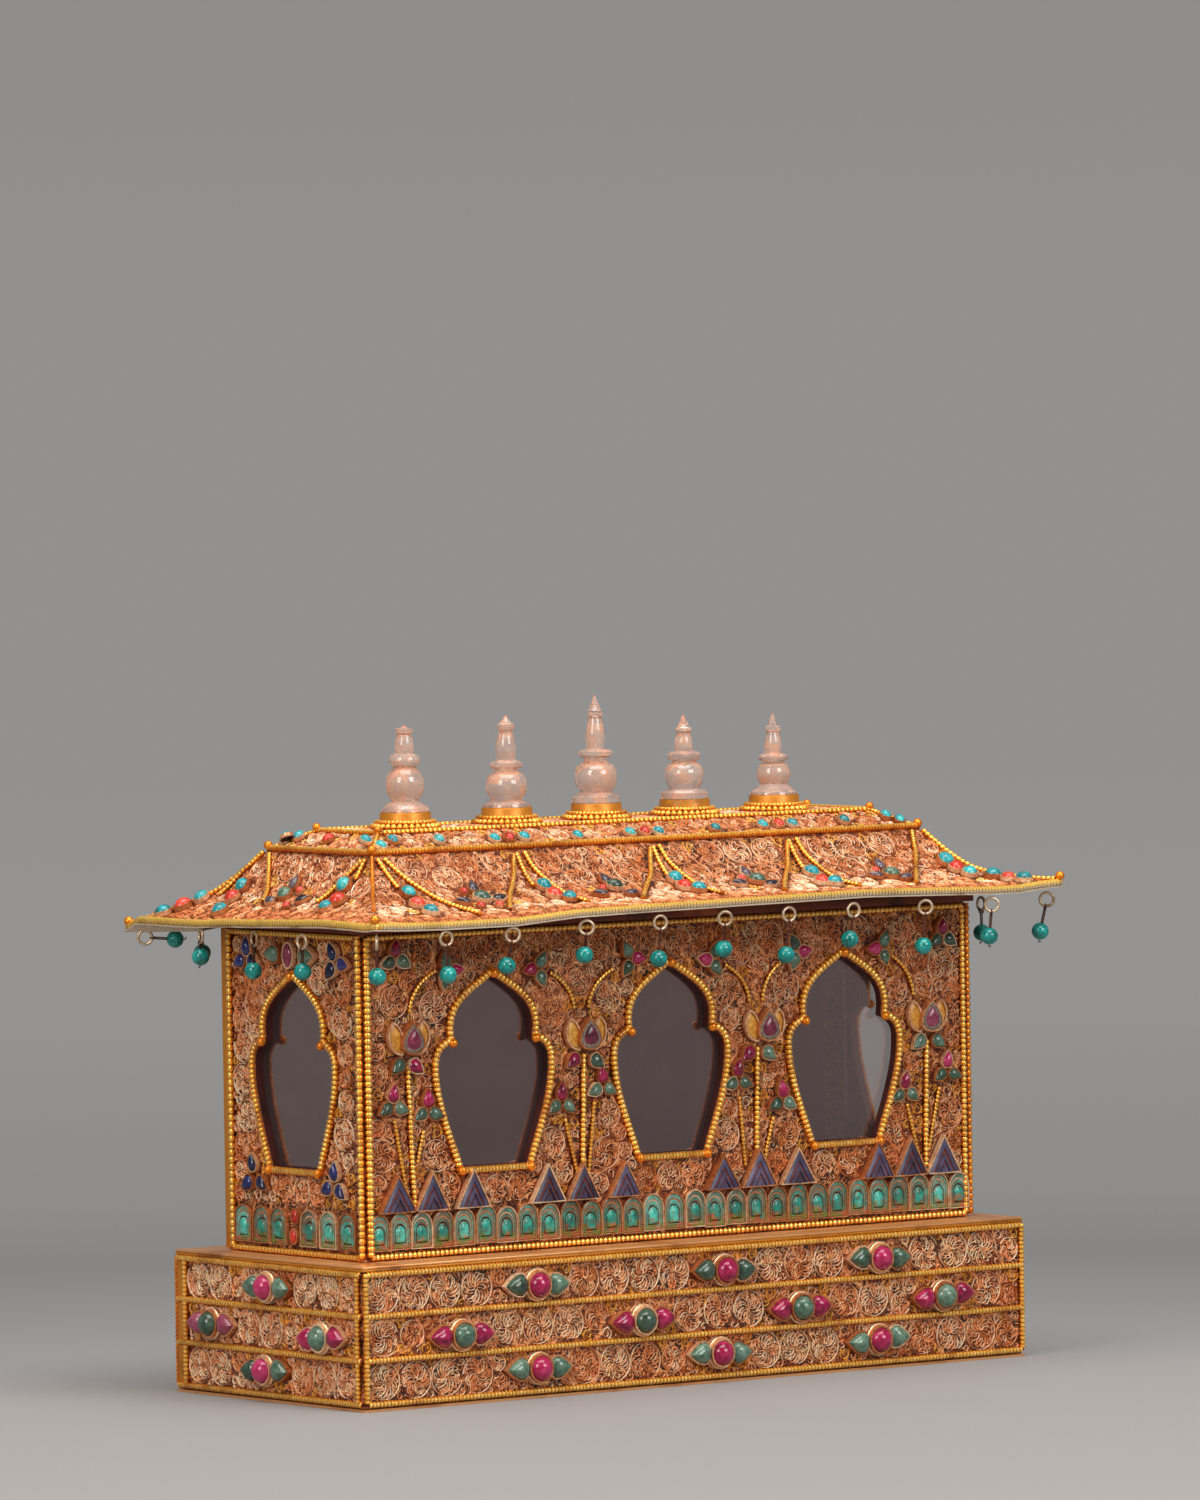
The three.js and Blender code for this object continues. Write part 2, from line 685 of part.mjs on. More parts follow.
// Pendants: a ring under the eave, a wire and a turquoise bead.
function pendant() {
  const ring = new THREE.TorusGeometry(pendantRingRadius, pendantWire / 2, 3, ringSegments);
  const bead = new THREE.IcosahedronGeometry(pendantBeadRadius * 1.08, 0).translate(0, -pendantDrop, 0);
  const wireLength = pendantDrop - pendantRingRadius + pendantWire / 2;
  const wire = new THREE.CylinderGeometry(pendantWire / 2, pendantWire / 2, wireLength, 3);
  wire.translate(0, -pendantRingRadius + pendantWire / 2 - wireLength / 2, 0);
  return joined([ring, bead, wire]);
}

const ringTop = soffitBase - fitGap;
const pendantZ = ringTop - pendantRingRadius - pendantWire / 2;
const pendantInset = 1;
const hanging = pendant();

const pendantPitch = (2 * eaveHalf.x) / (pendantsLong + 1);

function hangPendants(side, count) {
  const reach = halfAcross(side, eaveHalf) - pendantInset;
  for (let i = 1; i <= count; i++) {
    const along = new THREE.Matrix4().makeTranslation((i - (count + 1) / 2) * pendantPitch, 0, 0);
    const frame = faceFrame(side, reach, pendantZ).multiply(along);
    addPiece("pendant_" + side + "_" + i, hanging.transform(frame.toArray()), turquoise);
  }
}

hangPendants("front", pendantsLong);
hangPendants("back", pendantsLong);
hangPendants("left", pendantsShort);
hangPendants("right", pendantsShort);

// A corner pendant's ring lies in the plane of the roof's hip.
const cornerReach = (pendantRingRadius + pendantWire) * Math.SQRT1_2 + pendantInset / 2;
[[-1, -1], [1, -1], [1, 1], [-1, 1]].forEach(([sx, sy], i) => {
  const alongHip = new THREE.Vector3(sx, sy, 0).normalize();
  const away = new THREE.Vector3(alongHip.y, -alongHip.x, 0);
  const frame = new THREE.Matrix4().makeBasis(alongHip, new THREE.Vector3(0, 0, 1), away);
  frame.setPosition(sx * (eaveHalf.x - cornerReach), sy * (eaveHalf.y - cornerReach), pendantZ);
  addPiece("pendant_corner_" + (i + 1), hanging.transform(frame.toArray()), turquoise);
});

export default altarBox;
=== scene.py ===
"""Altar box of gilt copper filigree, set with stones and crystal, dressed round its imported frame.

Sizes are in millimetres until a mesh is made. A face has its own u, v, w: u to the right as one looks at
it, v up and w outwards.
"""

import sys

import logging
import math
from contextlib import contextmanager
from dataclasses import dataclass, field, replace
from enum import Enum
from functools import cache
from typing import Callable, Iterable, Iterator, Sequence

import bpy
import numpy as np
from mathutils import Matrix, Vector


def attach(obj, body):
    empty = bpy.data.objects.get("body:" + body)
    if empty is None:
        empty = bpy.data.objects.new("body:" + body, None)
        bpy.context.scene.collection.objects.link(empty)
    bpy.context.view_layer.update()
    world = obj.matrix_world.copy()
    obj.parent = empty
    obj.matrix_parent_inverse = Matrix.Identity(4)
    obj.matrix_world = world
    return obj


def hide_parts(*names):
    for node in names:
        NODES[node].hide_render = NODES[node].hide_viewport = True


Array = np.ndarray
Random = np.random.Generator
Point = tuple[float, float]
Socket = bpy.types.NodeSocket

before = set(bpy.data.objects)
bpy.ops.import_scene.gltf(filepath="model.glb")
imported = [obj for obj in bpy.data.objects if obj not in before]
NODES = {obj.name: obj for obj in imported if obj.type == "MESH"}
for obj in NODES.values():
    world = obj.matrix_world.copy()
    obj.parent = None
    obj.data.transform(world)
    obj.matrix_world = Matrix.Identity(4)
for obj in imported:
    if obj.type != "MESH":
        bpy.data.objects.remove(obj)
log = logging.getLogger("altar_box")
MM = 0.001
TAU = 2 * math.pi

# finishes


def linear(colour: str) -> tuple[float, float, float, float]:
    """Turns six hex digits of sRGB to linear red, green, blue and alpha."""
    parts = [int(colour[i : i + 2], 16) / 255 for i in (0, 2, 4)]
    return (*(p / 12.92 if p <= 0.04045 else ((p + 0.055) / 1.055) ** 2.4 for p in parts), 1.0)


class Graph:
    """A material's or world's node tree, with a short call for each kind of node that the finishes use."""

    def __init__(self, tree: bpy.types.NodeTree) -> None:
        """Takes the tree."""
        self.tree = tree

    def feed(self, node: bpy.types.Node, inputs: dict) -> None:
        """Links sockets to a node's inputs and sets its other values, by name or number."""
        for name, value in inputs.items():
            if isinstance(value, Socket):
                self.tree.links.new(value, node.inputs[name])
            else:
                node.inputs[name].default_value = value

    def add_node(self, kind: str, inputs: dict | None = None, **settings: object) -> bpy.types.bpy_prop_collection:
        """Adds one node.

        Args:
            kind: its type name without "ShaderNode".
            inputs: values or sockets by input name or number.
            **settings: attributes of the node itself.

        Returns:
            Its outputs.
        """
        made = self.tree.nodes.new(f"ShaderNode{kind}")
        for name, value in settings.items():
            setattr(made, name, value)
        self.feed(made, inputs or {})
        return made.outputs

    def calc(self, operation: str, *values: object) -> Socket:
        """Adds a Math node."""
        return self.add_node("Math", dict(enumerate(values)), operation=operation)[0]

    def vector(self, operation: str, *values: object) -> bpy.types.bpy_prop_collection:
        """Adds a Vector Math node and returns its outputs."""
        return self.add_node("VectorMath", dict(enumerate(values)), operation=operation)

    def span(self, value: Socket, low: float, high: float, to: tuple = (0.0, 1.0), smooth: bool = False) -> Socket:
        """Maps the range from low to high on another one, with smooth by an S-curve."""
        inputs = {"Value": value, "From Min": low, "From Max": high, "To Min": to[0], "To Max": to[1]}
        return self.add_node("MapRange", inputs, interpolation_type="SMOOTHSTEP" if smooth else "LINEAR")["Result"]

    def mix(self, share: Socket, a: Socket | str, b: Socket | str) -> Socket:
        """Blends two colours, each a socket or six hex digits."""
        a, b = (linear(c) if isinstance(c, str) else c for c in (a, b))
        return self.add_node("Mix", {0: share, 6: a, 7: b}, data_type="RGBA")[2]

    def ramp(self, value: Socket, *stops: tuple[float, str]) -> Socket:
        """Adds a colour ramp with stops of place and hex colour."""
        outputs = self.add_node("ValToRGB", {"Fac": value})
        elements = outputs[0].node.color_ramp.elements
        while len(elements) < len(stops):
            elements.new(0.5)
        for element, (place, colour) in zip(elements, stops):
            element.position, element.color = place, linear(colour)
        return outputs["Color"]

    def attribute(self, name: str) -> Socket:
        """Reads one of the piece's own attributes."""
        return self.add_node("Attribute", attribute_name=name)["Fac"]

    def place(self) -> Socket:
        """Reads the place in the piece's own coordinates, in metres."""
        return self.add_node("TexCoord")["Object"]

    def noise(self, size: float, detail: float = 2.0, stretch: tuple | None = None) -> Socket:
        """Adds noise with blots of a size in millimetres, with stretch scaled along X, Y and Z."""
        place = self.place()
        if stretch:
            place = self.add_node("Mapping", {"Vector": place, "Scale": stretch})["Vector"]
        inputs = {"Vector": place, "Scale": 1 / (size * MM), "Detail": detail, "Roughness": 0.55}
        return self.add_node("TexNoise", inputs)["Fac"]

    def bump(self, height: Socket, strength: float, distance: float) -> Socket:
        """Turns a height to a relief of some millimetres."""
        return self.add_node("Bump", {"Height": height, "Strength": strength, "Distance": distance * MM})["Normal"]


@dataclass(frozen=True)
class Finish:
    """A finish: the part of a material that all of them share."""

    name: str

    def material(self) -> bpy.types.Material:
        """Returns the finish's material, made at its first use."""
        found = bpy.data.materials.get(self.name)
        if found:
            return found
        made = bpy.data.materials.new(self.name)
        made.use_nodes = True
        graph = Graph(made.node_tree)
        shader = made.node_tree.nodes["Principled BSDF"]
        graph.feed(shader, self.dress(graph))
        self.close(graph, shader)
        return made

    def dress(self, graph: Graph) -> dict:
        """Returns the shader's inputs. Each kind of finish has its own."""
        raise NotImplementedError

    def close(self, graph: Graph, shader: bpy.types.Node) -> None:
        """Adds what comes after the shader, which most finishes don't have."""


@dataclass(frozen=True)
class WornMetal(Finish):
    """Gilt or copper work whose hollows hold old polish and painted shade, and whose tops are rubbed bright.

    The pieces carry two attributes: wear, 0 in a hollow, where grime and painted shade darken it, and 1 on a
    rubbed top; and tone, which differs from one wire to the next and is over 1 on wires that kept their gilding.
    On ropes tone rises from underside to top, painting gilt ropes paler above and darker below as painted light
    and shade; on the roof's slopes it is lowered near the eave as painted shade.
    """

    hollow: str
    residue: str
    metal: str
    second: str
    bright: str
    gold: str
    roughness: float
    edge: float
    patch: float
    metallic: float

    def dress(self, graph: Graph) -> dict:
        """Mixes grime and painted shade, residue and metal by wear, tone and patches of noise."""
        grain = graph.noise(1.6)
        # Low wear, in hollows, grooves and at the wires' feet, takes the hollow and residue colours: grime with
        # painted shade.
        grime_and_shade = graph.ramp(graph.noise(self.patch, 3.0), (0.38, self.hollow), (0.62, self.residue))
        mixed = graph.calc("MULTIPLY_ADD", graph.attribute("tone"), 0.6, graph.calc("MULTIPLY", grain, 0.4))
        stops = (0.34, self.second), (0.54, self.metal), (0.76, self.bright), (0.92, self.gold)
        stain = graph.span(graph.noise(self.patch * 0.4, 3.0), 0.54, 0.72, (0.0, 0.6))
        stained = graph.mix(stain, graph.ramp(mixed, *stops), self.residue)
        rubbed = graph.span(graph.attribute("wear_and_shade"), self.edge, self.edge + 0.4, smooth=True)
        return {
            "Base Color": graph.mix(rubbed, grime_and_shade, stained),
            "Metallic": graph.calc("MULTIPLY", rubbed, self.metallic),
            "Roughness": graph.span(grain, 0.3, 0.7, (self.roughness - 0.08, self.roughness + 0.1)),
        }


@dataclass(frozen=True)
class LowWires(Finish):
    """The low wires between the modelled wheels: rows of hooked curls that wind round scattered centres.

    They are drawn in the millimetres of the face itself, from the face attribute. Their gaps are dark with old
    polish and with painted shade between the wires, and near the roof's eave the tone attribute darkens the
    wires as painted shade.
    """

    gap: str
    residue: str
    second: str
    metal: str
    bright: str
    wheel: float = 15.0
    curl: float = 3.9
    pitch: float = 1.95
    width: float = 0.84

    def dress(self, graph: Graph) -> dict:
        """Draws the curls, colours each one for itself and raises them over gaps painted dark with old polish and
        shade.
        """
        calc, vector = graph.calc, graph.vector
        place = graph.add_node("Attribute", attribute_name="face")["Vector"]
        place = vector("MULTIPLY", place, (1 / self.wheel, 1 / self.wheel, 0))[0]
        shake = graph.add_node("TexNoise", {"Vector": place, "Scale": 2.6, "Detail": 1.0})["Color"]
        place = vector("MULTIPLY_ADD", shake, (0.16, 0.16, 0), place)[0]
        cells = {"Vector": place, "Scale": 1.0, "Randomness": 0.75}
        kinds = ("F1", "DISTANCE_TO_EDGE")
        wheels, rims = (graph.add_node("TexVoronoi", cells, voronoi_dimensions="2D", feature=kind) for kind in kinds)
        arm = vector("SUBTRACT", place, wheels["Position"])[0]
        x, y, _ = graph.add_node("SeparateXYZ", {0: arm})
        red, green, _ = graph.add_node("SeparateColor", {0: wheels["Color"]})
        hand = calc("MULTIPLY_ADD", calc("GREATER_THAN", green, 0.5), 2, -1)
        radius = vector("LENGTH", arm)["Value"]
        angle = calc("DIVIDE", calc("ARCTAN2", y, x), TAU)
        rows = calc("MULTIPLY_ADD", radius, self.wheel / self.curl, calc("MULTIPLY", hand, angle))
        row = calc("FLOOR", rows)
        count = calc("ROUND", calc("MULTIPLY_ADD", row, 6.2, 3.3))
        turned_by = calc("MULTIPLY_ADD", calc("MULTIPLY", hand, radius), 0.4, calc("ADD", angle, red))
        columns = calc("MULTIPLY", turned_by, count)
        along, across = (calc("SUBTRACT", calc("FRACT", value), 0.5) for value in (columns, rows))
        reach = calc("SQRT", calc("MULTIPLY_ADD", along, along, calc("MULTIPLY", across, across)))
        wound = calc("MULTIPLY", hand, calc("DIVIDE", calc("ARCTAN2", across, along), TAU))
        phase = calc("FRACT", calc("MULTIPLY_ADD", reach, self.curl / self.pitch, wound))
        off = calc("MULTIPLY", calc("ABSOLUTE", calc("SUBTRACT", phase, 0.5)), self.pitch)
        rim = calc("ABSOLUTE", calc("MULTIPLY_ADD", rims["Distance"], self.wheel, -0.45))
        half = self.width / 2
        wires = graph.span(calc("MINIMUM", off, rim), half + 0.12, half - 0.12, smooth=True)
        seed = graph.add_node("CombineXYZ", {0: calc("FLOOR", columns), 1: row, 2: red})[0]
        tone = graph.add_node("TexWhiteNoise", {"Vector": seed})["Value"]
        blotched = calc("MULTIPLY_ADD", tone, 0.5, calc("MULTIPLY", graph.noise(9.0, 3.0), 0.5))
        # A lower tone darkens the wires as painted shade near the roof's eave.
        mixed = calc("MULTIPLY", blotched, calc("ADD", graph.attribute("tone"), 0.5))
        metal = graph.ramp(mixed, (0.3, self.second), (0.5, self.metal), (0.72, self.bright))
        # The gaps take the near-black gap colour, painted shade between the wires, blotched with old polish.
        grime_and_shade = graph.ramp(graph.noise(24.0, 3.0), (0.4, self.gap), (0.68, self.residue))
        return {
            "Base Color": graph.mix(wires, grime_and_shade, metal),
            "Metallic": calc("MULTIPLY", wires, 0.45),
            "Roughness": 0.36,
            "Normal": graph.bump(wires, 0.9, 0.6),
        }


@dataclass(frozen=True)
class SheetMetal(Finish):
    """Rolled sheet: even satin metal with long faint scratches, stains and finger-dulled patches."""

    metal: str
    stain: str
    shade: str
    roughness: float
    metallic: float

    def dress(self, graph: Graph) -> dict:
        """Blends the metal with stains, and roughens along the scratches."""
        scratch = graph.noise(0.9, 2.0, (0.04, 1.0, 1.0))
        stops = (0.34, self.stain), (0.46, self.metal), (0.62, self.metal), (0.74, self.shade)
        return {
            "Base Color": graph.ramp(graph.noise(34.0, 4.0), *stops),
            "Metallic": self.metallic,
            "Roughness": graph.span(scratch, 0.3, 0.7, (self.roughness - 0.07, self.roughness + 0.12)),
            "Normal": graph.bump(scratch, 0.12, 0.05),
        }


@dataclass(frozen=True)
class PolishedStone(Finish):
    """A cabochon or bead: polished, clouded within and crossed by fine veins."""

    body: str
    deep: str
    light: str
    vein: str
    cloud: float
    roughness: float

    def dress(self, graph: Graph) -> dict:
        """Clouds the stone, draws its veins and gives it a polish."""
        blend = graph.calc("MULTIPLY_ADD", graph.attribute("tone"), 0.5, graph.noise(self.cloud, 3.0))
        colour = graph.ramp(blend, (0.45, self.deep), (0.72, self.body), (1.0, self.light))
        if self.vein:
            crack = graph.noise(self.cloud * 0.9, 4.0, (1.0, 1.3, 0.8))
            thin = graph.calc("ABSOLUTE", graph.calc("SUBTRACT", crack, 0.5))
            colour = graph.mix(graph.span(thin, 0.004, 0.016), self.vein, colour)
        return {"Base Color": colour, "Roughness": self.roughness}


@dataclass(frozen=True)
class CarvedStone(PolishedStone):
    """A carved tile: stone whose cuts have taken brown polish, by the wear attribute."""

    cut: str
    foot: str = ""

    def dress(self, graph: Graph) -> dict:
        """Adds the stained cuts to the polished stone, and grime at its foot where it has some."""
        inputs = super().dress(graph)
        height = graph.calc("MULTIPLY_ADD", graph.noise(5.0, 3.0), -0.8, graph.attribute("wear_and_shade"))
        mixed = graph.mix(graph.span(height, -0.35, 0.1), self.cut, inputs["Base Color"])
        if self.foot:
            up = graph.add_node("SeparateXYZ", {"Vector": graph.place()})["Z"]
            low = graph.span(up, TILE_FOOT[1], TILE_FOOT[0], (0.0, 0.62))
            grimy = graph.span(graph.calc("ADD", graph.noise(3.2, 3.0), low), 0.82, 1.0, (0.0, 0.85))
            grime = graph.ramp(graph.noise(4.5, 1.0), (0.42, self.foot), (0.6, "b4552c"))
            mixed = graph.mix(grimy, mixed, grime)
        return inputs | {"Base Color": mixed}


@dataclass(frozen=True)
class WindowGlass(Finish):
    """Half-mirrored glass over a dark cabinet: it shows the room's tone, the jamb's reflection and specks of dust."""

    tint: str = "fcf2f2"
    mirror: str = "ffdcdc"

    def dress(self, graph: Graph) -> dict:
        """Makes a clear sheet with a strong reflection and a little dust."""
        speck = graph.span(graph.noise(1.1, 1.0), 0.8, 0.84)
        return {
            "Transmission Weight": graph.calc("SUBTRACT", 0.985, speck),
            "Base Color": linear(self.tint),
            "Specular Tint": linear(self.mirror),
            "IOR": 2.25,
            "Roughness": 0.015,
        }


@dataclass(frozen=True)
class Quartz(Finish):
    """Rock crystal with a faint pink cast, clouded inclusions and orange polish left in its grooves."""

    body: str = "fdeade"
    cloud: str = "f4bea0"
    stain: str = "d2562a"

    def dress(self, graph: Graph) -> dict:
        """Makes clear stone with clouds, and stained grooves by the wear attribute."""
        inclusion = graph.noise(7.0, 4.0)
        body = graph.ramp(inclusion, (0.42, self.body), (0.62, self.cloud))
        edge = graph.calc("MULTIPLY_ADD", graph.noise(3.0, 3.0), 0.5, graph.attribute("wear_and_shade"))
        clean = graph.span(edge, 0.44, 0.66)
        return {
            "Base Color": graph.mix(clean, self.stain, body),
            "Transmission Weight": graph.calc("MULTIPLY", graph.span(inclusion, 0.4, 0.65, (0.85, 0.55)), clean),
            "IOR": 1.54,
            "Roughness": 0.03,
        }


@dataclass(frozen=True)
class Backdrop(Finish):
    """Matt seamless paper, lit in a pool before the box, then a painted glow falling off to the room's own tone."""

    colour: str
    pool: tuple[float, float, float] = (-0.54, -0.72, 0.0)
    reach: float = 8.0
    # Tones of the painted glow by share of the reach: a painted fall-off of light.
    tones: tuple = (
        (0.12, "a3a2a2"), (0.162, "939290"), (0.2, "868583"), (0.25, "8d8c8a"), (0.5, "959492"), (1.0, "929190"),
    )

    def dress(self, graph: Graph) -> dict:
        """Makes matt paper."""
        return {"Base Color": linear(self.colour), "Roughness": 0.9}

    def close(self, graph: Graph, shader: bpy.types.Node) -> None:
        """Blends lit paper into a painted glow, its tone set by distance from the pool."""
        away = graph.vector("DISTANCE", graph.place(), self.pool)["Value"]
        share = graph.calc("MULTIPLY", away, 1 / self.reach)
        # Painted light: the paper shines by itself, its tone painted by distance.
        glow = graph.add_node("Emission", {"Color": graph.ramp(share, *self.tones)})[0]
        fade = graph.span(away, 0.8, 1.35, smooth=True)
        both = graph.add_node("MixShader", {0: fade, 1: shader.outputs[0], 2: glow})[0]
        graph.feed(graph.tree.nodes["Material Output"], {"Surface": both})


# Heights in metres between which grime fades out on the front wall's tiles.
TILE_FOOT = (0.074, 0.085)
# Copper wire filigree, once gilt: pink copper shows on the rubbed wires, red polish in the gaps, painted shade
# near-black at the wires' feet.
FILIGREE = WornMetal(
    "copper_wire_filigree", "1a0601", "9c3c10", "ffba84", "d27c36", "fff2d6", "fabe4e", 0.28, 0.32, 14.0, 0.4
)
# The same work on the roof, in darker colours as painted shade against the strong light from above.
ROOF_FILIGREE = WornMetal(
    "roof_wire_filigree", "220802", "94380e", "e89e66", "b86430", "ffe6c8", "f0b854", 0.4, 0.34, 14.0, 0.35
)
# Gilt twisted and beaded wire: yellow gold with brown polish and painted shade in the grooves, painted paler on top
# and darker beneath where it is a rope.
GILT_WIRE = WornMetal(
    "gilt_beaded_wire", "3a0e02", "963806", "f08e20", "cc6612", "ffbe4a", "ffdc92", 0.28, 0.16, 40.0, 0.6
)
# Gilt coil with a tinned underside, by the tone attribute; grime and painted shade darken its grooves.
EAVE_COIL = WornMetal(
    "gilt_and_tinned_coil", "6c4c1c", "b48834", "eec67c", "e4dac8", "fecc54", "ffdc74", 0.26, 0.22, 60.0, 0.5
)
# Hand-cut copper strip for the cups, darkened at its foot with grime and painted shade.
COPPER_CUP = WornMetal(
    "copper_strip_cup", "3c1206", "a4481c", "cc8450", "98502a", "f6d6ae", "f6d6ae", 0.32, 0.14, 8.0, 0.5
)
# The sheet under the filigree, red with old polish; on the tray under the eave its dark colour is painted shade.
BACKING = SheetMetal("polish_stained_copper", "6a2c12", "2c0e06", "a2522a", 0.7, 0.1)
# The same under the roof's filigree.
ROOF_BACKING = SheetMetal("polish_stained_roof_copper", "8c401c", "50200e", "b85c30", 0.7, 0.1)
# Wires pressed low between the wheels, copper over gaps dark with old polish and near-black painted shade.
LOW_WIRES = LowWires("low_filigree_wires", "140401", "62240a", "92461e", "ca7c46", "fcb67a")
# The same on the roof, its wires in darker colours as painted shade against the strong light from above.
ROOF_LOW_WIRES = LowWires("low_roof_filigree_wires", "1c0602", "6e280a", "8a421c", "b46c3c", "e09e6c")
# Satin copper of the deck, with finger-dulled patches and long scratches.
COPPER_SHEET = SheetMetal("satin_copper_sheet", "d99a62", "b8733e", "e8b483", 0.36, 0.5)
# Flat gilt strip along edges and round the crystals' feet.
GOLD_STRIP = SheetMetal("gilt_brass_strip", "be781a", "74480e", "d89a2e", 0.42, 0.4)
# Tinned sheet under the eaves: greyish white with copper showing through.
PALE_SHEET = SheetMetal("tinned_copper_sheet", "cbb89f", "9a7a5c", "e6dac8", 0.42, 0.5)
# Dark wood inside the cabinet and along the windows' jambs.
DARK_LINING = SheetMetal("stained_wood_lining", "46100c", "260807", "5e1c14", 0.5, 0.0)
# White brass rings, tarnished brown on the inside.
RING_METAL = SheetMetal("tarnished_white_brass", "c9b295", "8a6a4a", "efe4cf", 0.3, 0.6)
# Thin copper wire of the pendants, browned.
DARK_WIRE = SheetMetal("tarnished_copper_wire", "5c3022", "3a1c14", "7c4832", 0.45, 0.4)
# Ruby-red cabochons, clouded pink within.
RUBY = PolishedStone("ruby_cabochon", "981444", "520a24", "b83868", "", 3.4, 0.12)
# The same stone dulled to brownish red.
DULL_RUBY = PolishedStone("dull_garnet_cabochon", "7c2640", "441424", "9a4c62", "", 3.4, 0.22)
# Grey-green jasper with brown veins.
GREEN = PolishedStone("jasper_green_cabochon", "3c5c4c", "22362c", "648472", "5a4a34", 3.2, 0.14)
# Nearly black garnet.
DARK_STONE = PolishedStone("dark_garnet_cabochon", "3a3038", "1d171c", "67595f", "", 2.6, 0.16)
# Red coral, even and opaque.
CORAL = PolishedStone("red_coral_cabochon", "c2301e", "942014", "d84a36", "", 4.0, 0.2)
# Turquoise with brown matrix.
TURQUOISE = PolishedStone("turquoise_cabochon", "16909a", "0c5c5c", "3cb4b4", "5a3a20", 4.0, 0.2)
# Turquoise beads, deeper and greener, their matrix dark.
BEAD_TURQUOISE = PolishedStone("turquoise_bead", "0c7e78", "06504a", "28a49c", "14342a", 6.0, 0.14)
# Lapis, deep blue.
LAPIS = PolishedStone("lapis_cabochon", "191d4c", "0c0e26", "2e3374", "", 2.4, 0.18)
# Amber-coloured petals, satin.
AMBER = PolishedStone("amber_petal", "cf8c2c", "9a5a1c", "e8b45c", "8a4a1c", 2.6, 0.34)
# Cement that beds the large stones.
CEMENT = PolishedStone("setting_cement", "6c5c50", "463a30", "94867a", "", 1.2, 0.8)
# Carved turquoise-green tiles, polish in their cuts and grime at their feet.
TILE = CarvedStone("carved_turquoise_tile", "248c7c", "185248", "54c0b0", "6a4424", 4.0, 0.22, "8a5a42", "6c7a24")
# Carved slate-blue tiles, red polish in their cuts.
SLATE = CarvedStone("carved_lapis_tile", "383550", "221e30", "57506c", "", 6.0, 0.4, "9c4a28")
# Thin window glass, dark from the cabinet behind it.
GLASS = WindowGlass("cabinet_glass")
# Rock crystal with a pink cast.
QUARTZ = Quartz("pink_rock_crystal")
# The studio's grey paper, which is stage and not part of the box; away from the box it is a painted glow.
PAPER = Backdrop("pale_grey_paper", "8e8b8b")

# shapes in millimetres


@dataclass
class Shape:
    """Points and polygons in a face's millimetres, with the wear and tone of each point."""

    points: Array
    loops: Array
    sizes: Array
    wear_and_shade: Array
    tone: Array

    @staticmethod
    def of(points: Sequence, polygons: Iterable[Sequence[int]], wear_and_shade: Sequence[float] | float = 1.0) -> "Shape":
        """Makes a shape from lists.

        Args:
            points: u, v and w of each point.
            polygons: the points of each polygon, counter-clockwise from outside.
            wear_and_shade: one value, or one for each point.

        Returns:
            The shape, with an even tone.
        """
        points = np.asarray(points, dtype=float).reshape(-1, 3)
        loops = np.array([i for p in polygons for i in p], dtype=np.int64)
        sizes = np.array([len(p) for p in polygons], dtype=np.int64)
        wear_and_shade = np.broadcast_to(wear_and_shade, len(points)).astype(float)
        return Shape(points, loops, sizes, wear_and_shade, np.full(len(points), 0.5))

    def moved(
        self,
        u: float = 0,
        v: float = 0,
        w: float = 0,
        turn: float = 0,
        scale: Sequence | float = 1,
        mirror: bool = False,
    ) -> "Shape":
        """Returns a copy that is scaled, mirrored in u, turned and then moved."""
        points, loops = self.points * np.broadcast_to(scale, 3), self.loops
        if mirror:
            points = points * (-1, 1, 1)
            starts = np.repeat(np.cumsum(self.sizes) - self.sizes, self.sizes)
            lengths = np.repeat(self.sizes, self.sizes)
            loops = loops[2 * starts + lengths - 1 - np.arange(len(loops))]
        c, s = math.cos(turn), math.sin(turn)
        points = points @ np.array([[c, s, 0], [-s, c, 0], [0, 0, 1]]) + (u, v, w)
        return replace(self, points=points, loops=loops)

    def even(self, wear_and_shade: float = 1.0) -> "Shape":
        """Gives all points one wear and returns the shape."""
        self.wear_and_shade = np.full(len(self.points), wear_and_shade)
        return self

    def toned(self, tone: float) -> "Shape":
        """Gives all points one tone and returns the shape."""
        self.tone = np.full(len(self.points), tone)
        return self

    @staticmethod
    def joined(shapes: Sequence["Shape"]) -> "Shape":
        """Returns one shape made of all of these."""
        starts = np.cumsum([0] + [len(s.points) for s in shapes[:-1]])
        parts = [(s.points, s.loops + n, s.sizes, s.wear_and_shade, s.tone) for s, n in zip(shapes, starts)]
        return Shape(*(np.concatenate(column) for column in zip(*parts)))


def loft(rings: Sequence[Array], closed: bool, wear_and_shade: Array | float = 1.0) -> Shape:
    """Joins rings of points by quads.

    Args:
        rings: the rings, each with as many points.
        closed: whether the last ring meets the first. An open run gets end caps.
        wear_and_shade: one value, or one for each point.

    Returns:
        The shape.
    """
    count, sides = len(rings), len(rings[0])
    polygons = []
    for i in range(count if closed else count - 1):
        j = (i + 1) % count
        for k in range(sides):
            m = (k + 1) % sides
            polygons.append([i * sides + k, i * sides + m, j * sides + m, j * sides + k])
    if not closed:
        polygons += [range(sides)[::-1], range((count - 1) * sides, count * sides)]
    return Shape.of(np.vstack(rings), polygons, wear_and_shade)


def unit(vectors: Array) -> Array:
    """Scales each row to length 1."""
    return vectors / (np.linalg.norm(vectors, axis=1, keepdims=True) + 1e-12)


def lifted(path: Sequence, w: float = 0.0) -> Array:
    """Gives a path (n, 2) on a face the height w."""
    path = np.asarray(path, dtype=float)
    return np.column_stack([path, np.full(len(path), w)])


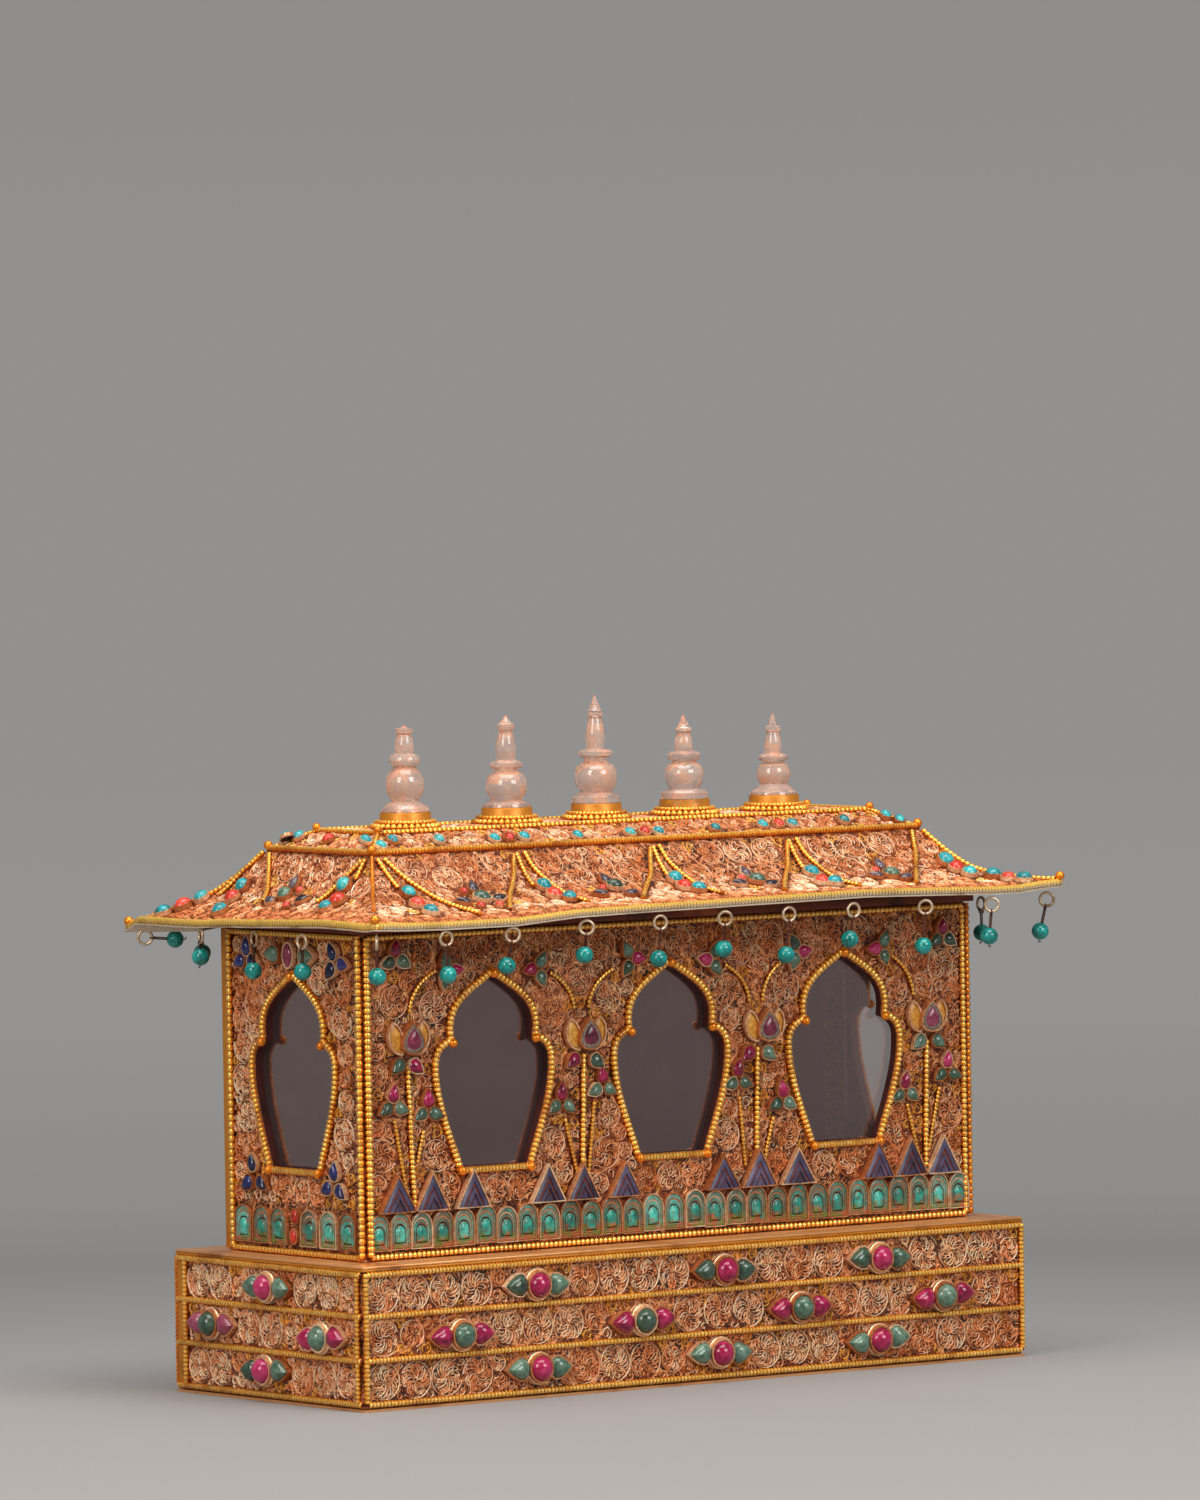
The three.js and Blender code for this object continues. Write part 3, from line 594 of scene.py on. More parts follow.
def sweep(
    path: Sequence,
    section: Array,
    scales: Array | float = 1.0,
    wear_and_shade: Sequence | float = 1.0,
    closed: bool = False,
    up: Sequence = (0, 0, 1),
) -> Shape:
    """Sweeps a section along a path.

    Args:
        path: points (n, 3).
        section: points (m, 2), sideways and up, clockwise as seen from behind.
        scales: size of the section, one value or one for each point.
        wear_and_shade: one value, one for each section point (m,), or one for each ring (n, 1).
        closed: whether the path's end meets its start.
        up: the direction that the section's up follows.

    Returns:
        The swept shape.
    """
    path = np.asarray(path, dtype=float)
    ahead = np.roll(path, -1, axis=0) - np.roll(path, 1, axis=0) if closed else np.gradient(path, axis=0)
    ahead = unit(ahead)
    side = unit(np.cross(ahead, up))
    over = np.cross(side, ahead)
    across = side[:, None] * section[None, :, :1] + over[:, None] * section[None, :, 1:2]
    rings = path[:, None] + across * np.broadcast_to(scales, len(path))[:, None, None]
    return loft(rings, closed, np.broadcast_to(wear_and_shade, rings.shape[:2]).ravel())


def round_section(sides: int) -> Array:
    """Returns a unit round section with its first point to the side."""
    angle = -np.arange(sides) * TAU / sides
    return np.column_stack([np.cos(angle), np.sin(angle)])


def circle(radius: float, count: int, u: float, v: float, w: float) -> Array:
    """Returns points (n, 3) round a circle that lies level at w."""
    angle = np.arange(count) * TAU / count
    return np.column_stack([u + radius * np.cos(angle), v + radius * np.sin(angle), np.full(count, w)])


def resample(path: Sequence, step: float, closed: bool = False) -> Array:
    """Spaces points evenly along a path.

    Args:
        path: points (n, 2) or (n, 3).
        step: the spacing wanted.
        closed: whether the path's end meets its start.

    Returns:
        Points whose spacing is the nearest that fits a whole number of steps.
    """
    path = np.asarray(path, dtype=float)
    if closed:
        path = np.vstack([path, path[:1]])
    run = np.concatenate([[0], np.cumsum(np.linalg.norm(np.diff(path, axis=0), axis=1))])
    places = np.linspace(0, run[-1], max(2, round(run[-1] / step)) + 1)
    if closed:
        places = places[:-1]
    return np.column_stack([np.interp(places, run, path[:, k]) for k in range(path.shape[1])])


def wire(path: Sequence, width: float, height: float) -> Shape:
    """Makes one fine filigree wire with a ridged top, on a path (n, 2)."""
    section = np.array([[-0.5, 0.0], [0.0, 1.0], [0.5, 0.0]]) * (width, height)
    # The wire's feet get low wear, which the metal finish paints dark with polish and shade.
    return sweep(lifted(path), section, wear_and_shade=[0.3, 1.0, 0.3])


def teardrop(width: float, length: float) -> Array:
    """Returns a drop outline, counter-clockwise, pointed at +v."""
    angle = np.arange(12) * TAU / 12
    across = -np.sin(angle) * np.abs(np.sin(angle / 2)) / 0.77
    return np.column_stack([across / 2, np.cos(angle) / 2]) * (width, length)


def ellipse(length: float, width: float, sides: int) -> Array:
    """Returns an oval outline, counter-clockwise, long in v."""
    angle = np.arange(sides) * TAU / sides
    return np.column_stack([np.cos(angle) * width / 2, np.sin(angle) * length / 2])


def arch(width: float, height: float, sides: int) -> Array:
    """Returns a round-topped outline that stands on v = 0, counter-clockwise."""
    half, rise = width / 2, width / 2 * 1.15
    angle = np.linspace(0, math.pi, sides)
    top = np.column_stack([half * np.cos(angle), height - rise + rise * np.sin(angle)])
    return np.vstack([[-half, 0], [half, 0], top])


def rectangle(half_u: float, v0: float, v1: float) -> Array:
    """Returns an upright rectangle's outline."""
    return np.array([(-half_u, v0), (half_u, v0), (half_u, v1), (-half_u, v1)], dtype=float)


def bezier(*controls: Point, steps: int) -> Array:
    """Returns points on a Bezier curve, its last point left out."""
    t = np.arange(steps)[:, None] / steps
    level = [np.array(c, dtype=float)[None, :] + 0 * t for c in controls]
    while len(level) > 1:
        level = [a * (1 - t) + b * t for a, b in zip(level, level[1:])]
    return level[0]


def grown(outline: Array, by: float) -> Array:
    """Offsets a counter-clockwise outline outwards, or inwards where by is negative."""
    ahead = unit(np.roll(outline, -1, axis=0) - outline)
    normal = np.column_stack([ahead[:, 1], -ahead[:, 0]])
    before = np.roll(normal, 1, axis=0)
    share = np.maximum(1 + (normal * before).sum(axis=1, keepdims=True), 0.35)
    return outline + by * (normal + before) / share


# modelling by hand


def start(add: Callable, **place: object) -> bpy.types.Object:
    """Adds a primitive with nothing else selected and returns it."""
    bpy.ops.object.select_all(action="DESELECT")
    add(**place)
    return bpy.context.object


@contextmanager
def editing() -> Iterator[None]:
    """Works on the active mesh in edit mode, all of it selected."""
    bpy.ops.object.mode_set(mode="EDIT")
    bpy.ops.mesh.select_all(action="SELECT")
    yield
    bpy.ops.object.mode_set(mode="OBJECT")


def flat_blank(outline: Array) -> bpy.types.Object:
    """Cuts a flat blank to an outline."""
    blank = start(bpy.ops.mesh.primitive_circle_add, vertices=len(outline), radius=1.0, fill_type="NGON")
    for vertex, (u, v) in zip(blank.data.vertices, outline):
        vertex.co = (u, v, 0.0)
    return blank


def extrude(height: float) -> None:
    """Extrudes what is selected straight up."""
    bpy.ops.mesh.extrude_region_move(TRANSFORM_OT_translate={"value": (0, 0, height)})


def draw_in(share: float, centre: Point, height: float) -> None:
    """Draws what is selected in to a share of its size about a point."""
    bpy.ops.transform.resize(value=(share, share, 1), center_override=(*centre, height))


def face_out() -> None:
    """Turns the faces of the mesh in edit mode outwards."""
    bpy.ops.mesh.select_all(action="SELECT")
    bpy.ops.mesh.normals_make_consistent(inside=False)


def take(piece: bpy.types.Object) -> Shape:
    """Takes the shape of a modelled pattern piece, its wear rising with its height, and clears the piece away."""
    mesh = piece.data
    points = np.array([v.co[:] for v in mesh.vertices])
    top = max(points[:, 2].max(), 1e-6)
    shape = Shape.of(points, [list(p.vertices) for p in mesh.polygons], np.clip(points[:, 2] / top, 0, 1))
    bpy.data.objects.remove(piece)
    bpy.data.meshes.remove(mesh)
    return shape


def raise_levels(outline: Array, levels: Sequence[Point], centre: Point = (0, 0)) -> Shape:
    """Models a low form: a flat blank is extruded up and drawn in by steps.

    Args:
        outline: the foot's outline, counter-clockwise.
        levels: height over the foot and share of the outline at each step.
        centre: the point that the outline is drawn in to.

    Returns:
        The form, with wear from 0 at its foot to 1 at its top.
    """
    blank = flat_blank(outline)
    height, share = 0.0, 1.0
    with editing():
        for level, scale in levels:
            extrude(level - height)
            if scale != share:
                draw_in(scale / share, centre, level)
            height, share = level, scale
        face_out()
    return take(blank)


def cup(outline: Array, height: float, wall: float, lean: float = 0.95) -> Shape:
    """Models the strip of metal round a stone, with a thin rim and a floor inside it.

    Args:
        outline: its foot, counter-clockwise.
        height: its height.
        wall: width of its rim.
        lean: share of the outline that the rim is drawn in to.

    Returns:
        The cup, with wear from its foot to its rim, its foot painted dark with grime and shade.
    """
    blank = flat_blank(outline)
    with editing():
        if lean < 1:
            extrude(height * 0.85)
            draw_in(lean, (0, 0), height * 0.85)
        extrude(height * (0.15 if lean < 1 else 1))
        bpy.ops.mesh.inset(thickness=wall, depth=0.0)
        extrude(-height * (0.3 if lean < 1 else 0.4))
        face_out()
    shape = take(blank)
    shape.wear_and_shade = np.clip(shape.points[:, 2] / height, 0, 1) * 0.9 + 0.05
    return shape


def turned(profile: Sequence[Point], sides: int) -> Shape:
    """Models a turned form by extruding a disc up its profile of radius and height, from the foot."""
    (first, foot), rest = profile[0], profile[1:]
    levels = [(h - foot, max(r, 0.05) / first) for r, h in rest]
    return raise_levels(ellipse(2 * first, 2 * first, sides), levels).moved(w=foot)


def sheet(outer: Array, holes: Sequence[Array], thick: float) -> Shape:
    """Cuts a sheet with holes, lying below w = 0, from a filled flat curve."""
    curve = bpy.data.curves.new("sheet", "CURVE")
    curve.dimensions, curve.fill_mode, curve.extrude = "2D", "BOTH", thick / 2
    for outline in (outer, *holes):
        spline = curve.splines.new("POLY")
        spline.points.add(len(outline) - 1)
        spline.points.foreach_set("co", np.column_stack([lifted(outline), np.ones(len(outline))]).ravel())
        spline.use_cyclic_u = True
    blank = bpy.data.objects.new("sheet", curve)
    bpy.context.collection.objects.link(blank)
    bpy.ops.object.select_all(action="DESELECT")
    bpy.context.view_layer.objects.active = blank
    blank.select_set(True)
    bpy.ops.object.convert(target="MESH")
    with editing():
        bpy.ops.mesh.remove_doubles(threshold=0.001)
        bpy.ops.mesh.normals_make_consistent(inside=False)
    return take(bpy.context.object).even().moved(w=-thick / 2)


def block(u: Point, v: Point, w: Point, soften: float = 0.4) -> Shape:
    """Models a bar or slab: a cube brought to size, its edges bevelled."""
    blank = start(bpy.ops.mesh.primitive_cube_add, size=1.0)
    for vertex in blank.data.vertices:
        vertex.co = [(a + b) / 2 + (b - a) * c for (a, b), c in zip((u, v, w), vertex.co)]
    with editing():
        bpy.ops.mesh.bevel(offset=soften, segments=2, affect="EDGES")
    return take(blank).even()


# faces


class Side(Enum):
    """The four faces, by the plan directions of their right and of their outward normal."""

    FRONT = ((1, 0), (0, -1))
    BACK = ((-1, 0), (0, 1))
    LEFT = ((0, -1), (-1, 0))
    RIGHT = ((0, 1), (1, 0))

    @property
    def long(self) -> bool:
        """Whether this is a long side."""
        return self in (Side.FRONT, Side.BACK)

    @property
    def seen(self) -> bool:
        """Whether the photograph shows this side."""
        return self in (Side.FRONT, Side.LEFT)

    @property
    def number(self) -> int:
        """Its place in the list, for seeds."""
        return list(Side).index(self)

    @property
    def label(self) -> str:
        """Its name in the names of pieces."""
        return self.name.lower()

    def place(self, u: Array, out: Array, z: Array) -> Array:
        """Turns places along the side, out from the middle and up to X, Y and Z."""
        (rx, ry), (ox, oy) = self.value
        return np.column_stack([u * rx + out * ox, u * ry + out * oy, z])


class Face:
    """A surface that shapes are laid on."""

    def place(self, points: Array) -> Array:
        """Turns u, v, w of the face to the row frame, in millimetres."""
        raise NotImplementedError


@dataclass(frozen=True)
class FlatFace(Face):
    """A flat upright face. Its v is the height over the floor."""

    side: Side
    reach: float

    def place(self, points: Array) -> Array:
        """Turns u, v, w of the face to the row frame, in millimetres."""
        u, v, w = np.asarray(points, dtype=float).T
        return self.side.place(u, self.reach + w, v)


@dataclass(frozen=True)
class Level(Face):
    """The plain frame: u, v, w are X, Y and Z, w over some height."""

    height: float = 0.0

    def place(self, points: Array) -> Array:
        """Raises the points to the level's height."""
        return np.asarray(points, dtype=float) + (0, 0, self.height)


Placed = list[tuple[Face, Shape]]


def on(face: Face, *shapes: Shape) -> Placed:
    """Pairs shapes with the face that they lie on."""
    return [(face, shape) for shape in shapes]


def build(
    name: str, shapes: Placed, finish: Finish, smooth: float, node: str = ""
) -> None:
    """Makes one piece of many shapes, riding on the body.

    Args:
        name: the piece's name.
        shapes: each with the face that it lies on.
        finish: its finish.
        smooth: angle up to which its faces shade smooth, in degrees.
        node: the CAD node that it stands for, with others after commas.
    """
    whole = Shape.joined([replace(s, points=face.place(s.points)) for face, s in shapes])
    mesh = bpy.data.meshes.new(name)
    mesh.vertices.add(len(whole.points))
    mesh.vertices.foreach_set("co", (whole.points * MM).ravel())
    mesh.loops.add(len(whole.loops))
    mesh.loops.foreach_set("vertex_index", whole.loops)
    mesh.polygons.add(len(whole.sizes))
    mesh.polygons.foreach_set("loop_start", np.cumsum(whole.sizes) - whole.sizes)
    mesh.polygons.foreach_set("loop_total", whole.sizes)
    mesh.update(calc_edges=True)
    own = mesh.attributes.new("face", "FLOAT_VECTOR", "POINT")
    own.data.foreach_set("vector", np.concatenate([s.points for _, s in shapes]).ravel())
    for key, values in (("wear_and_shade", whole.wear_and_shade), ("tone", whole.tone)):
        mesh.attributes.new(key, "FLOAT", "POINT").data.foreach_set("value", values)
    mesh.materials.append(finish.material())
    mesh.set_sharp_from_angle(angle=math.radians(smooth))
    mesh.polygons.foreach_set("use_smooth", [True] * len(mesh.polygons))
    piece = bpy.data.objects.new(name, mesh)
    bpy.context.collection.objects.link(piece)
    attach(piece, "root")
    if node:
        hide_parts(*node.split(","))
    log.info("%-26s %7d triangles", name, triangles(piece))


def triangles(piece: bpy.types.Object) -> int:
    """Counts the triangles of a mesh."""
    return sum(len(p.vertices) - 2 for p in piece.data.polygons)


def dress_node(node: bpy.types.Object, finish: Finish) -> None:
    """Gives a CAD node that stays a finish of its own."""
    node.data.materials.clear()
    node.data.materials.append(finish.material())


# filigree


def comma(near: float, far: float, angle: float, sweep_by: float, hook: float, rich: bool) -> Array:
    """Returns a hooked stroke.

    Args:
        near: distance of its start from the centre.
        far: distance of its far end.
        angle: its direction at the start.
        sweep_by: how far it turns on the way.
        hook: radius of the curl at its end.
        rich: whether it is finely drawn.

    Returns:
        Its path.
    """
    t = np.array([0.0, 0.4, 0.8, 1.0] if rich else [0.0, 0.5, 1.0])
    radius, direction = near + (far - near) * t, angle + sweep_by * t**1.5
    stroke = np.column_stack([radius * np.cos(direction), radius * np.sin(direction)])
    ahead = stroke[-1] - stroke[-2]
    ahead /= np.linalg.norm(ahead)
    side = np.array([-ahead[1], ahead[0]]) * (1 if sweep_by > 0 else -1)
    bends = (1.3, 2.7, 4.2) if rich else (1.6, 3.4)
    return np.vstack([stroke, [stroke[-1] + hook * (ahead * math.sin(a) + side * (1 - math.cos(a))) for a in bends]])


def spiral(outer: float, inner: float, turns: float, points: int, start_angle: float = 0.0) -> Array:
    """Returns a path that winds in from one radius to another."""
    t = np.linspace(0, 1, points)
    angle, radius = start_angle + t * turns * TAU, outer + (inner - outer) * t**1.15
    return np.column_stack([radius * np.cos(angle), radius * np.sin(angle)])


def rosette(radius: float, rng: Random, rich: bool) -> Shape:
    """Draws one wheel of filigree: arms that sweep out and curl over, with hooked teeth between them.

    Args:
        radius: its outer radius. Small ones are plain curls.
        rng: for the small differences of handwork.
        rich: whether it is seen close, so more finely drawn.

    Returns:
        The rosette, centred on u = v = 0, its tone the difference from its neighbours'.
    """
    if radius < 2.4:
        curl = spiral(radius - 0.2, 0.4 * radius, 0.75, 6 if rich else 5)
        return wire(np.vstack([[(1.15 * radius, -0.9 * radius)], curl]), 0.62, 1.0).toned(0.0)
    if radius < 4:
        wires = [wire(spiral(radius - 0.2, 0.3 * radius, 1.3, 12 if rich else 8), 0.7, 1.1)]
        tiers = [(3, 0.62, 0.95, 0.2)]
    else:
        rim = spiral(radius - 0.2, 0.9 * radius, 0.8, 15 if rich else 11, rng.uniform(0, TAU))
        wires = [wire(rim, 0.74, 1.15)]
        arms = round(radius * 0.75)
        tiers = [(arms, 0.08, 0.78, 0.9), (arms, 0.3, 0.55, 0.35), (arms, 0.58, 0.8, 0.3)]
        tiers = tiers if rich else tiers[::2]
    for tier, (count, near, far, sweep_by) in enumerate(tiers):
        for k in range(count):
            angle = (k + tier * 0.45 + (0.5 * far if tier else 0)) * TAU / count + rng.uniform(-0.1, 0.1)
            hook = rng.uniform(0.75, 1.0) if radius > 4 else 0.5
            path = comma(near * radius, far * radius, angle, sweep_by, hook, rich and tier == 0)
            wires.append(wire(path, 0.76, rng.uniform(0.95, 1.15)))
    return Shape.joined([one.toned(rng.uniform(-0.22, 0.22)) for one in wires])


def skin(rows: Sequence[tuple[float, float, float]], columns: int = 2, w: float = 0.12, thick: float = 0.5) -> Shape:
    """Makes a thin closed sheet over rows of points.

    Args:
        rows: both ends along u, and v, of each row, from the foot up.
        columns: points in each row.
        w: height of its outer side.
        thick: its thickness.

    Returns:
        The sheet.
    """
    top = np.array([(a + (b - a) * k / (columns - 1), v, w) for a, b, v in rows for k in range(columns)])
    count, whole = len(rows), len(top)
    corners = [j for i in range(count - 1) for j in range(i * columns, (i + 1) * columns - 1)]
    quads = [[j, j + 1, j + columns + 1, j + columns] for j in corners]
    polygons = quads + [[n + whole for n in reversed(quad)] for quad in quads]
    edge = [*range(columns), *(columns * (i + 1) - 1 for i in range(1, count))]
    edge += [*reversed(range(columns * (count - 1), whole - 1)), *(columns * i for i in reversed(range(1, count - 1)))]
    polygons += [[b, a, a + whole, b + whole] for a, b in zip(edge, edge[1:] + edge[:1])]
    return Shape.of(np.vstack([top, top - (0, 0, thick)]), polygons)


class Clearing:
    """The free room on a face, as a grid of distances to the nearest thing that is in the way.

    STEP is the grid's pitch, and REACH how far round a thing the distances are kept right: as far as the
    largest rosette needs them.
    """

    STEP = 0.7
    REACH = 9

    def __init__(self, u0: float, u1: float, v0: float, v1: float) -> None:
        """Starts with an empty rectangle."""
        us, vs = (np.arange(a + self.STEP / 2, b, self.STEP) for a, b in ((u0, u1), (v0, v1)))
        self.u, self.v = np.meshgrid(us, vs, indexing="ij")
        self.origin = (us[0], vs[0])
        self.room = np.minimum.reduce([self.u - u0, u1 - self.u, self.v - v0, v1 - self.v])

    def cell(self, place: float, axis: int) -> float:
        """Returns a place's row or column in the grid, not yet rounded."""
        return (place - self.origin[axis]) / self.STEP

    def block_circle(self, u: float, v: float, radius: float) -> None:
        """Takes away the room of a round thing."""
        reach = radius + self.REACH
        ends = [[int(self.cell(c + s * reach, axis)) for s in (-1, 1)] for axis, c in enumerate((u, v))]
        window = tuple(slice(max(0, low), max(0, high + 1)) for low, high in ends)
        distance = np.hypot(self.u[window] - u, self.v[window] - v) - radius
        self.room[window] = np.minimum(self.room[window], distance)

    def block_line(self, path: Sequence, half: float) -> None:
        """Takes away the room of a wire or stem."""
        for u, v in resample(path, 1.2)[:, :2]:
            self.block_circle(u, v, half)

    def block_outline(self, outline: Array, margin: float, keep_inside: bool = False) -> None:
        """Takes away the inside of an outline and a margin round it, or with keep_inside all but that inside."""
        u, v = self.u, self.v
        nearest = np.full(u.shape, 1e9)
        inside = np.zeros(u.shape, dtype=bool)
        for (a, b), (c, d) in zip(outline, np.roll(outline, -1, axis=0)):
            length = max((c - a) ** 2 + (d - b) ** 2, 1e-9)
            share = np.clip(((u - a) * (c - a) + (v - b) * (d - b)) / length, 0, 1)
            nearest = np.minimum(nearest, np.hypot(u - a - share * (c - a), v - b - share * (d - b)))
            if b != d:
                inside ^= ((b > v) != (d > v)) & (u < (c - a) * (v - b) / (d - b) + a)
        self.room = np.minimum(self.room, np.where(inside == keep_inside, nearest, -nearest) - margin)

    def row(self, radius: float, v: float) -> list[Point]:
        """Finds places side by side at one height, and takes their room."""
        found = []
        j = int(self.cell(v, 1) + 0.5)
        for i in range(len(self.room)):
            if self.room[i, j] >= radius - 0.8:
                self.block_circle(self.u[i, j], v, radius)
                found.append((self.u[i, j], v))
        return found

    def pack(self, radius: float, rng: Random) -> list[Point]:
        """Finds places for circles of one radius that touch what is there first.

        Args:
            radius: their radius.
            rng: for the order in which places are tried.

        Returns:
            Centres of the circles, whose room is then taken.
        """
        found = []
        least = radius - 0.3
        for slack in (0.5, 0.5, 0.5, 0.8, 0.8, 1e9):
            tries = np.argwhere((self.room >= least) & (self.room < radius + slack))
            rng.shuffle(tries)
            for i, j in tries:
                if self.room[i, j] >= least:
                    u, v = self.u[i, j], self.v[i, j]
                    self.block_circle(u, v, least)
                    found.append((u, v))
        return found


class FiligreeKit:
    """Patterns of wire rosettes in a few sizes, each in three hands, that a panel is filled with."""

    SIZES = (9.4, 8.2, 7.2, 6.2, 5.2, 4.3, 3.4, 2.7, 2.1, 1.6)

    def __init__(self, rich: bool, seed: int) -> None:
        """Draws the patterns, finely where they are seen close."""
        rng = np.random.default_rng(seed)
        self.least = 1.4 if rich else 2.5
        self.patterns = {r: [rosette(r, rng, rich) for _ in range(3)] for r in self.SIZES}

    def fill(
        self, clear: Clearing, seed: int, largest: float = 9.0, rise: float = 1.0, rows: Sequence[float] = ()
    ) -> list[Shape]:
        """Fills a clearing with rosettes, large ones first. Some wires next to a border kept their gilding.

        Args:
            clear: the room on the face.
            seed: for their places.
            largest: the largest radius to use.
            rise: the wires' height as a share.
            rows: heights at which the largest ones stand in a row.

        Returns:
            The placed rosettes.
        """
        rng = np.random.default_rng(seed)
        placed = []
        edge = clear.room.copy()
        for radius in (r for r in self.SIZES if self.least < r <= largest):
            lined = [place for v in rows for place in clear.row(radius, v)] if radius == self.SIZES[0] else []
            for u, v in lined + clear.pack(radius, rng):
                pattern = self.patterns[radius][rng.integers(3)]
                turn, mirror = rng.uniform(0, TAU), rng.random() < 0.5
                shape = pattern.moved(u, v, rng.uniform(-0.12, 0.0), turn, (1, 1, rise), mirror)
                i, j = (int(clear.cell(c, axis) + 0.5) for axis, c in enumerate((u, v)))
                gilt = edge[i, j] - radius < 1.2 and radius < 4 and rng.random() < 0.3
                shape.tone = pattern.tone + (1.3 if gilt else rng.uniform(0.5, 0.85))
                placed.append(shape)
        return placed


# ropes and borders


@dataclass(frozen=True)
class Rope:
    """A beaded or close-wound wire.

    Its sizes are the radius at the beads, the pitch from bead to bead, the radius between beads as a share,
    the sides of its section, and the rings for each bead: 2 for a coil's sharp turn or 3 for a full bead.
    """

    radius: float
    pitch: float
    groove: float = 0.66
    sides: int = 6
    steps: int = 2

    def run(self, path: Sequence, closed: bool = False) -> Shape:
        """Lays the rope along its centre line, worn bright on its beads, shade painted between them, tone 0 below and
        1 above.
        """
        line = resample(path, self.pitch / self.steps, closed)
        whole = self.steps * max(2, round(len(line) / self.steps))
        if closed and len(line) != whole:
            line = resample(path, self.pitch / self.steps * len(line) / whole, closed)
        crest = np.arange(len(line)) % self.steps > 0
        section = round_section(self.sides)
        scales = self.radius * np.where(crest, 1.0, self.groove)
        # Grooves get low wear: grime and painted shade.
        shape = sweep(line, section, scales, np.where(crest, 1.0, 0.15)[:, None], closed)
        # Tone by height paints gilt ropes paler on top and darker below, a painted light; on the eave coil it gives
        # the tinned underside.
        shape.tone = np.tile(np.clip(section[:, 1] * 0.5 + 0.55, 0, 1), len(line))
        return shape

    def line(self, a: Point, b: Point, lift: float | None = None) -> Shape:
        """Lays the rope straight on a face from a to b."""
        return self.run(lifted([a, b], self.radius * 0.75 if lift is None else lift))


WALL_BORDER = Rope(1.65, 2.7, 0.6, 6, 3)
CORNER_BEADS = Rope(2.05, 2.9, 0.6, 7, 3)
END_BEADS = Rope(1.8, 3.4, 0.6, 6, 3)
FRAME_BEADS = Rope(2.05, 2.4, 0.6, 6, 3)
SILL_COIL = Rope(1.9, 2.0, 0.7, 7)
STEM = Rope(1.55, 2.4, 0.55, 6, 3)
THIN_STEM = Rope(1.2, 2.0, 0.5, 5)
UPPER_STEM = Rope(1.3, 2.1, 0.5, 5)
PLINTH_COIL = Rope(1.75, 2.1)
PLINTH_POST = Rope(1.7, 2.15, 0.62, 7)
EAVE_ROPE = Rope(1.95, 1.95, 0.78, 8)
RIM_ROPE = Rope(1.9, 1.9, 0.76)
CHAIN = Rope(1.4, 2.2, 0.5, 5, 3)
RIB = Rope(1.4, 1.8, 0.7, 5)
HIP_CHAIN = Rope(1.75, 2.5, 0.55, 6, 3)
COLLAR_BEADS = Rope(1.25, 2.0, 0.5, 6, 3)
FOOT_BEADS = Rope(1.8, 3.0, 0.35, 7, 3)


# set stones


@dataclass(frozen=True)
class Setting:
    """A stone in its cup: outline and height of the cup, rise of the stone over it, the radius that both
    take up, width of the rim, and width of the cement round the stone where there is any.
    """

    outline: Array
    height: float
    rise: float
    room: float
    inset: float
    cement: float = 0.0

    def patterns(self) -> tuple[Shape, Shape, Shape | None]:
        """Models the cup, the domed stone and, where there is one, the ring of cement between them."""
        metal = cup(self.outline, self.height, self.inset)
        inside = grown(self.outline * 0.95, -self.inset)
        filler = None
        if self.cement:
            filler = raise_levels(inside, [(self.height * 0.93, 1.0), (self.height * 1.02, 0.93)]).even()
            inside = grown(inside, -self.cement)
        base, rise = self.height * 0.7, self.rise + self.height * 0.3
        angles = np.linspace(0, math.pi / 2 * 0.86, 4)
        stone = raise_levels(inside, [(base + rise * math.sin(a), max(0.12, math.cos(a))) for a in angles])
        return metal, stone, filler


SETTINGS = {
    "leaf": Setting(teardrop(8.2, 11.0), 3.2, 1.8, 4.7, 0.45),
    "plinth_round": Setting(ellipse(14.8, 14.8, 18), 5.2, 4.6, 7.5, 0.9),
    "plinth_leaf": Setting(teardrop(12.8, 15.2), 3.4, 3.7, 6.3, 0.6),
    "lotus": Setting(teardrop(14.6, 16.8), 5.4, 1.4, 7.2, 0.8, 0.5),
    "oval": Setting(ellipse(14.0, 9.8, 14), 3.0, 1.6, 6.2, 0.8),
    "roof_oval": Setting(ellipse(10.6, 9.2, 12), 3.0, 2.4, 5.0, 0.55),
    "band_oval": Setting(ellipse(7.8, 6.6, 10), 2.4, 1.8, 3.8, 0.45),
    "roof_drop": Setting(teardrop(6.8, 10.4), 2.4, 1.5, 3.9, 0.45),
    "roof_coral": Setting(ellipse(5.6, 5.2, 8), 2.1, 1.5, 2.7, 0.35),
    "coral": Setting(ellipse(8.8, 7.2, 10), 1.8, 1.2, 4.4, 0.7),
}


@dataclass(frozen=True)
class CarvedForm:
    """A carved piece in an upright copper strip: its outline, height and width of the strip, the point that
    its relief is drawn in to, and height and share of the outline at each step of that relief.
    """

    outline: Array
    height: float
    wall: float
    centre: Point
    steps: tuple[Point, ...]

    def patterns(self) -> tuple[Shape, Shape]:
        """Models the strip and the carved piece."""
        metal = cup(self.outline, self.height, self.wall, lean=1.0)
        carved = raise_levels(grown(self.outline, -self.wall - 0.02), self.steps, self.centre)
        low, high = min(z for z, _ in self.steps[2:]), self.steps[-1][0]
        carved.wear_and_shade = np.clip((carved.points[:, 2] - low) / (high - low), 0, 1) * 0.8 + 0.1
        return metal, carved


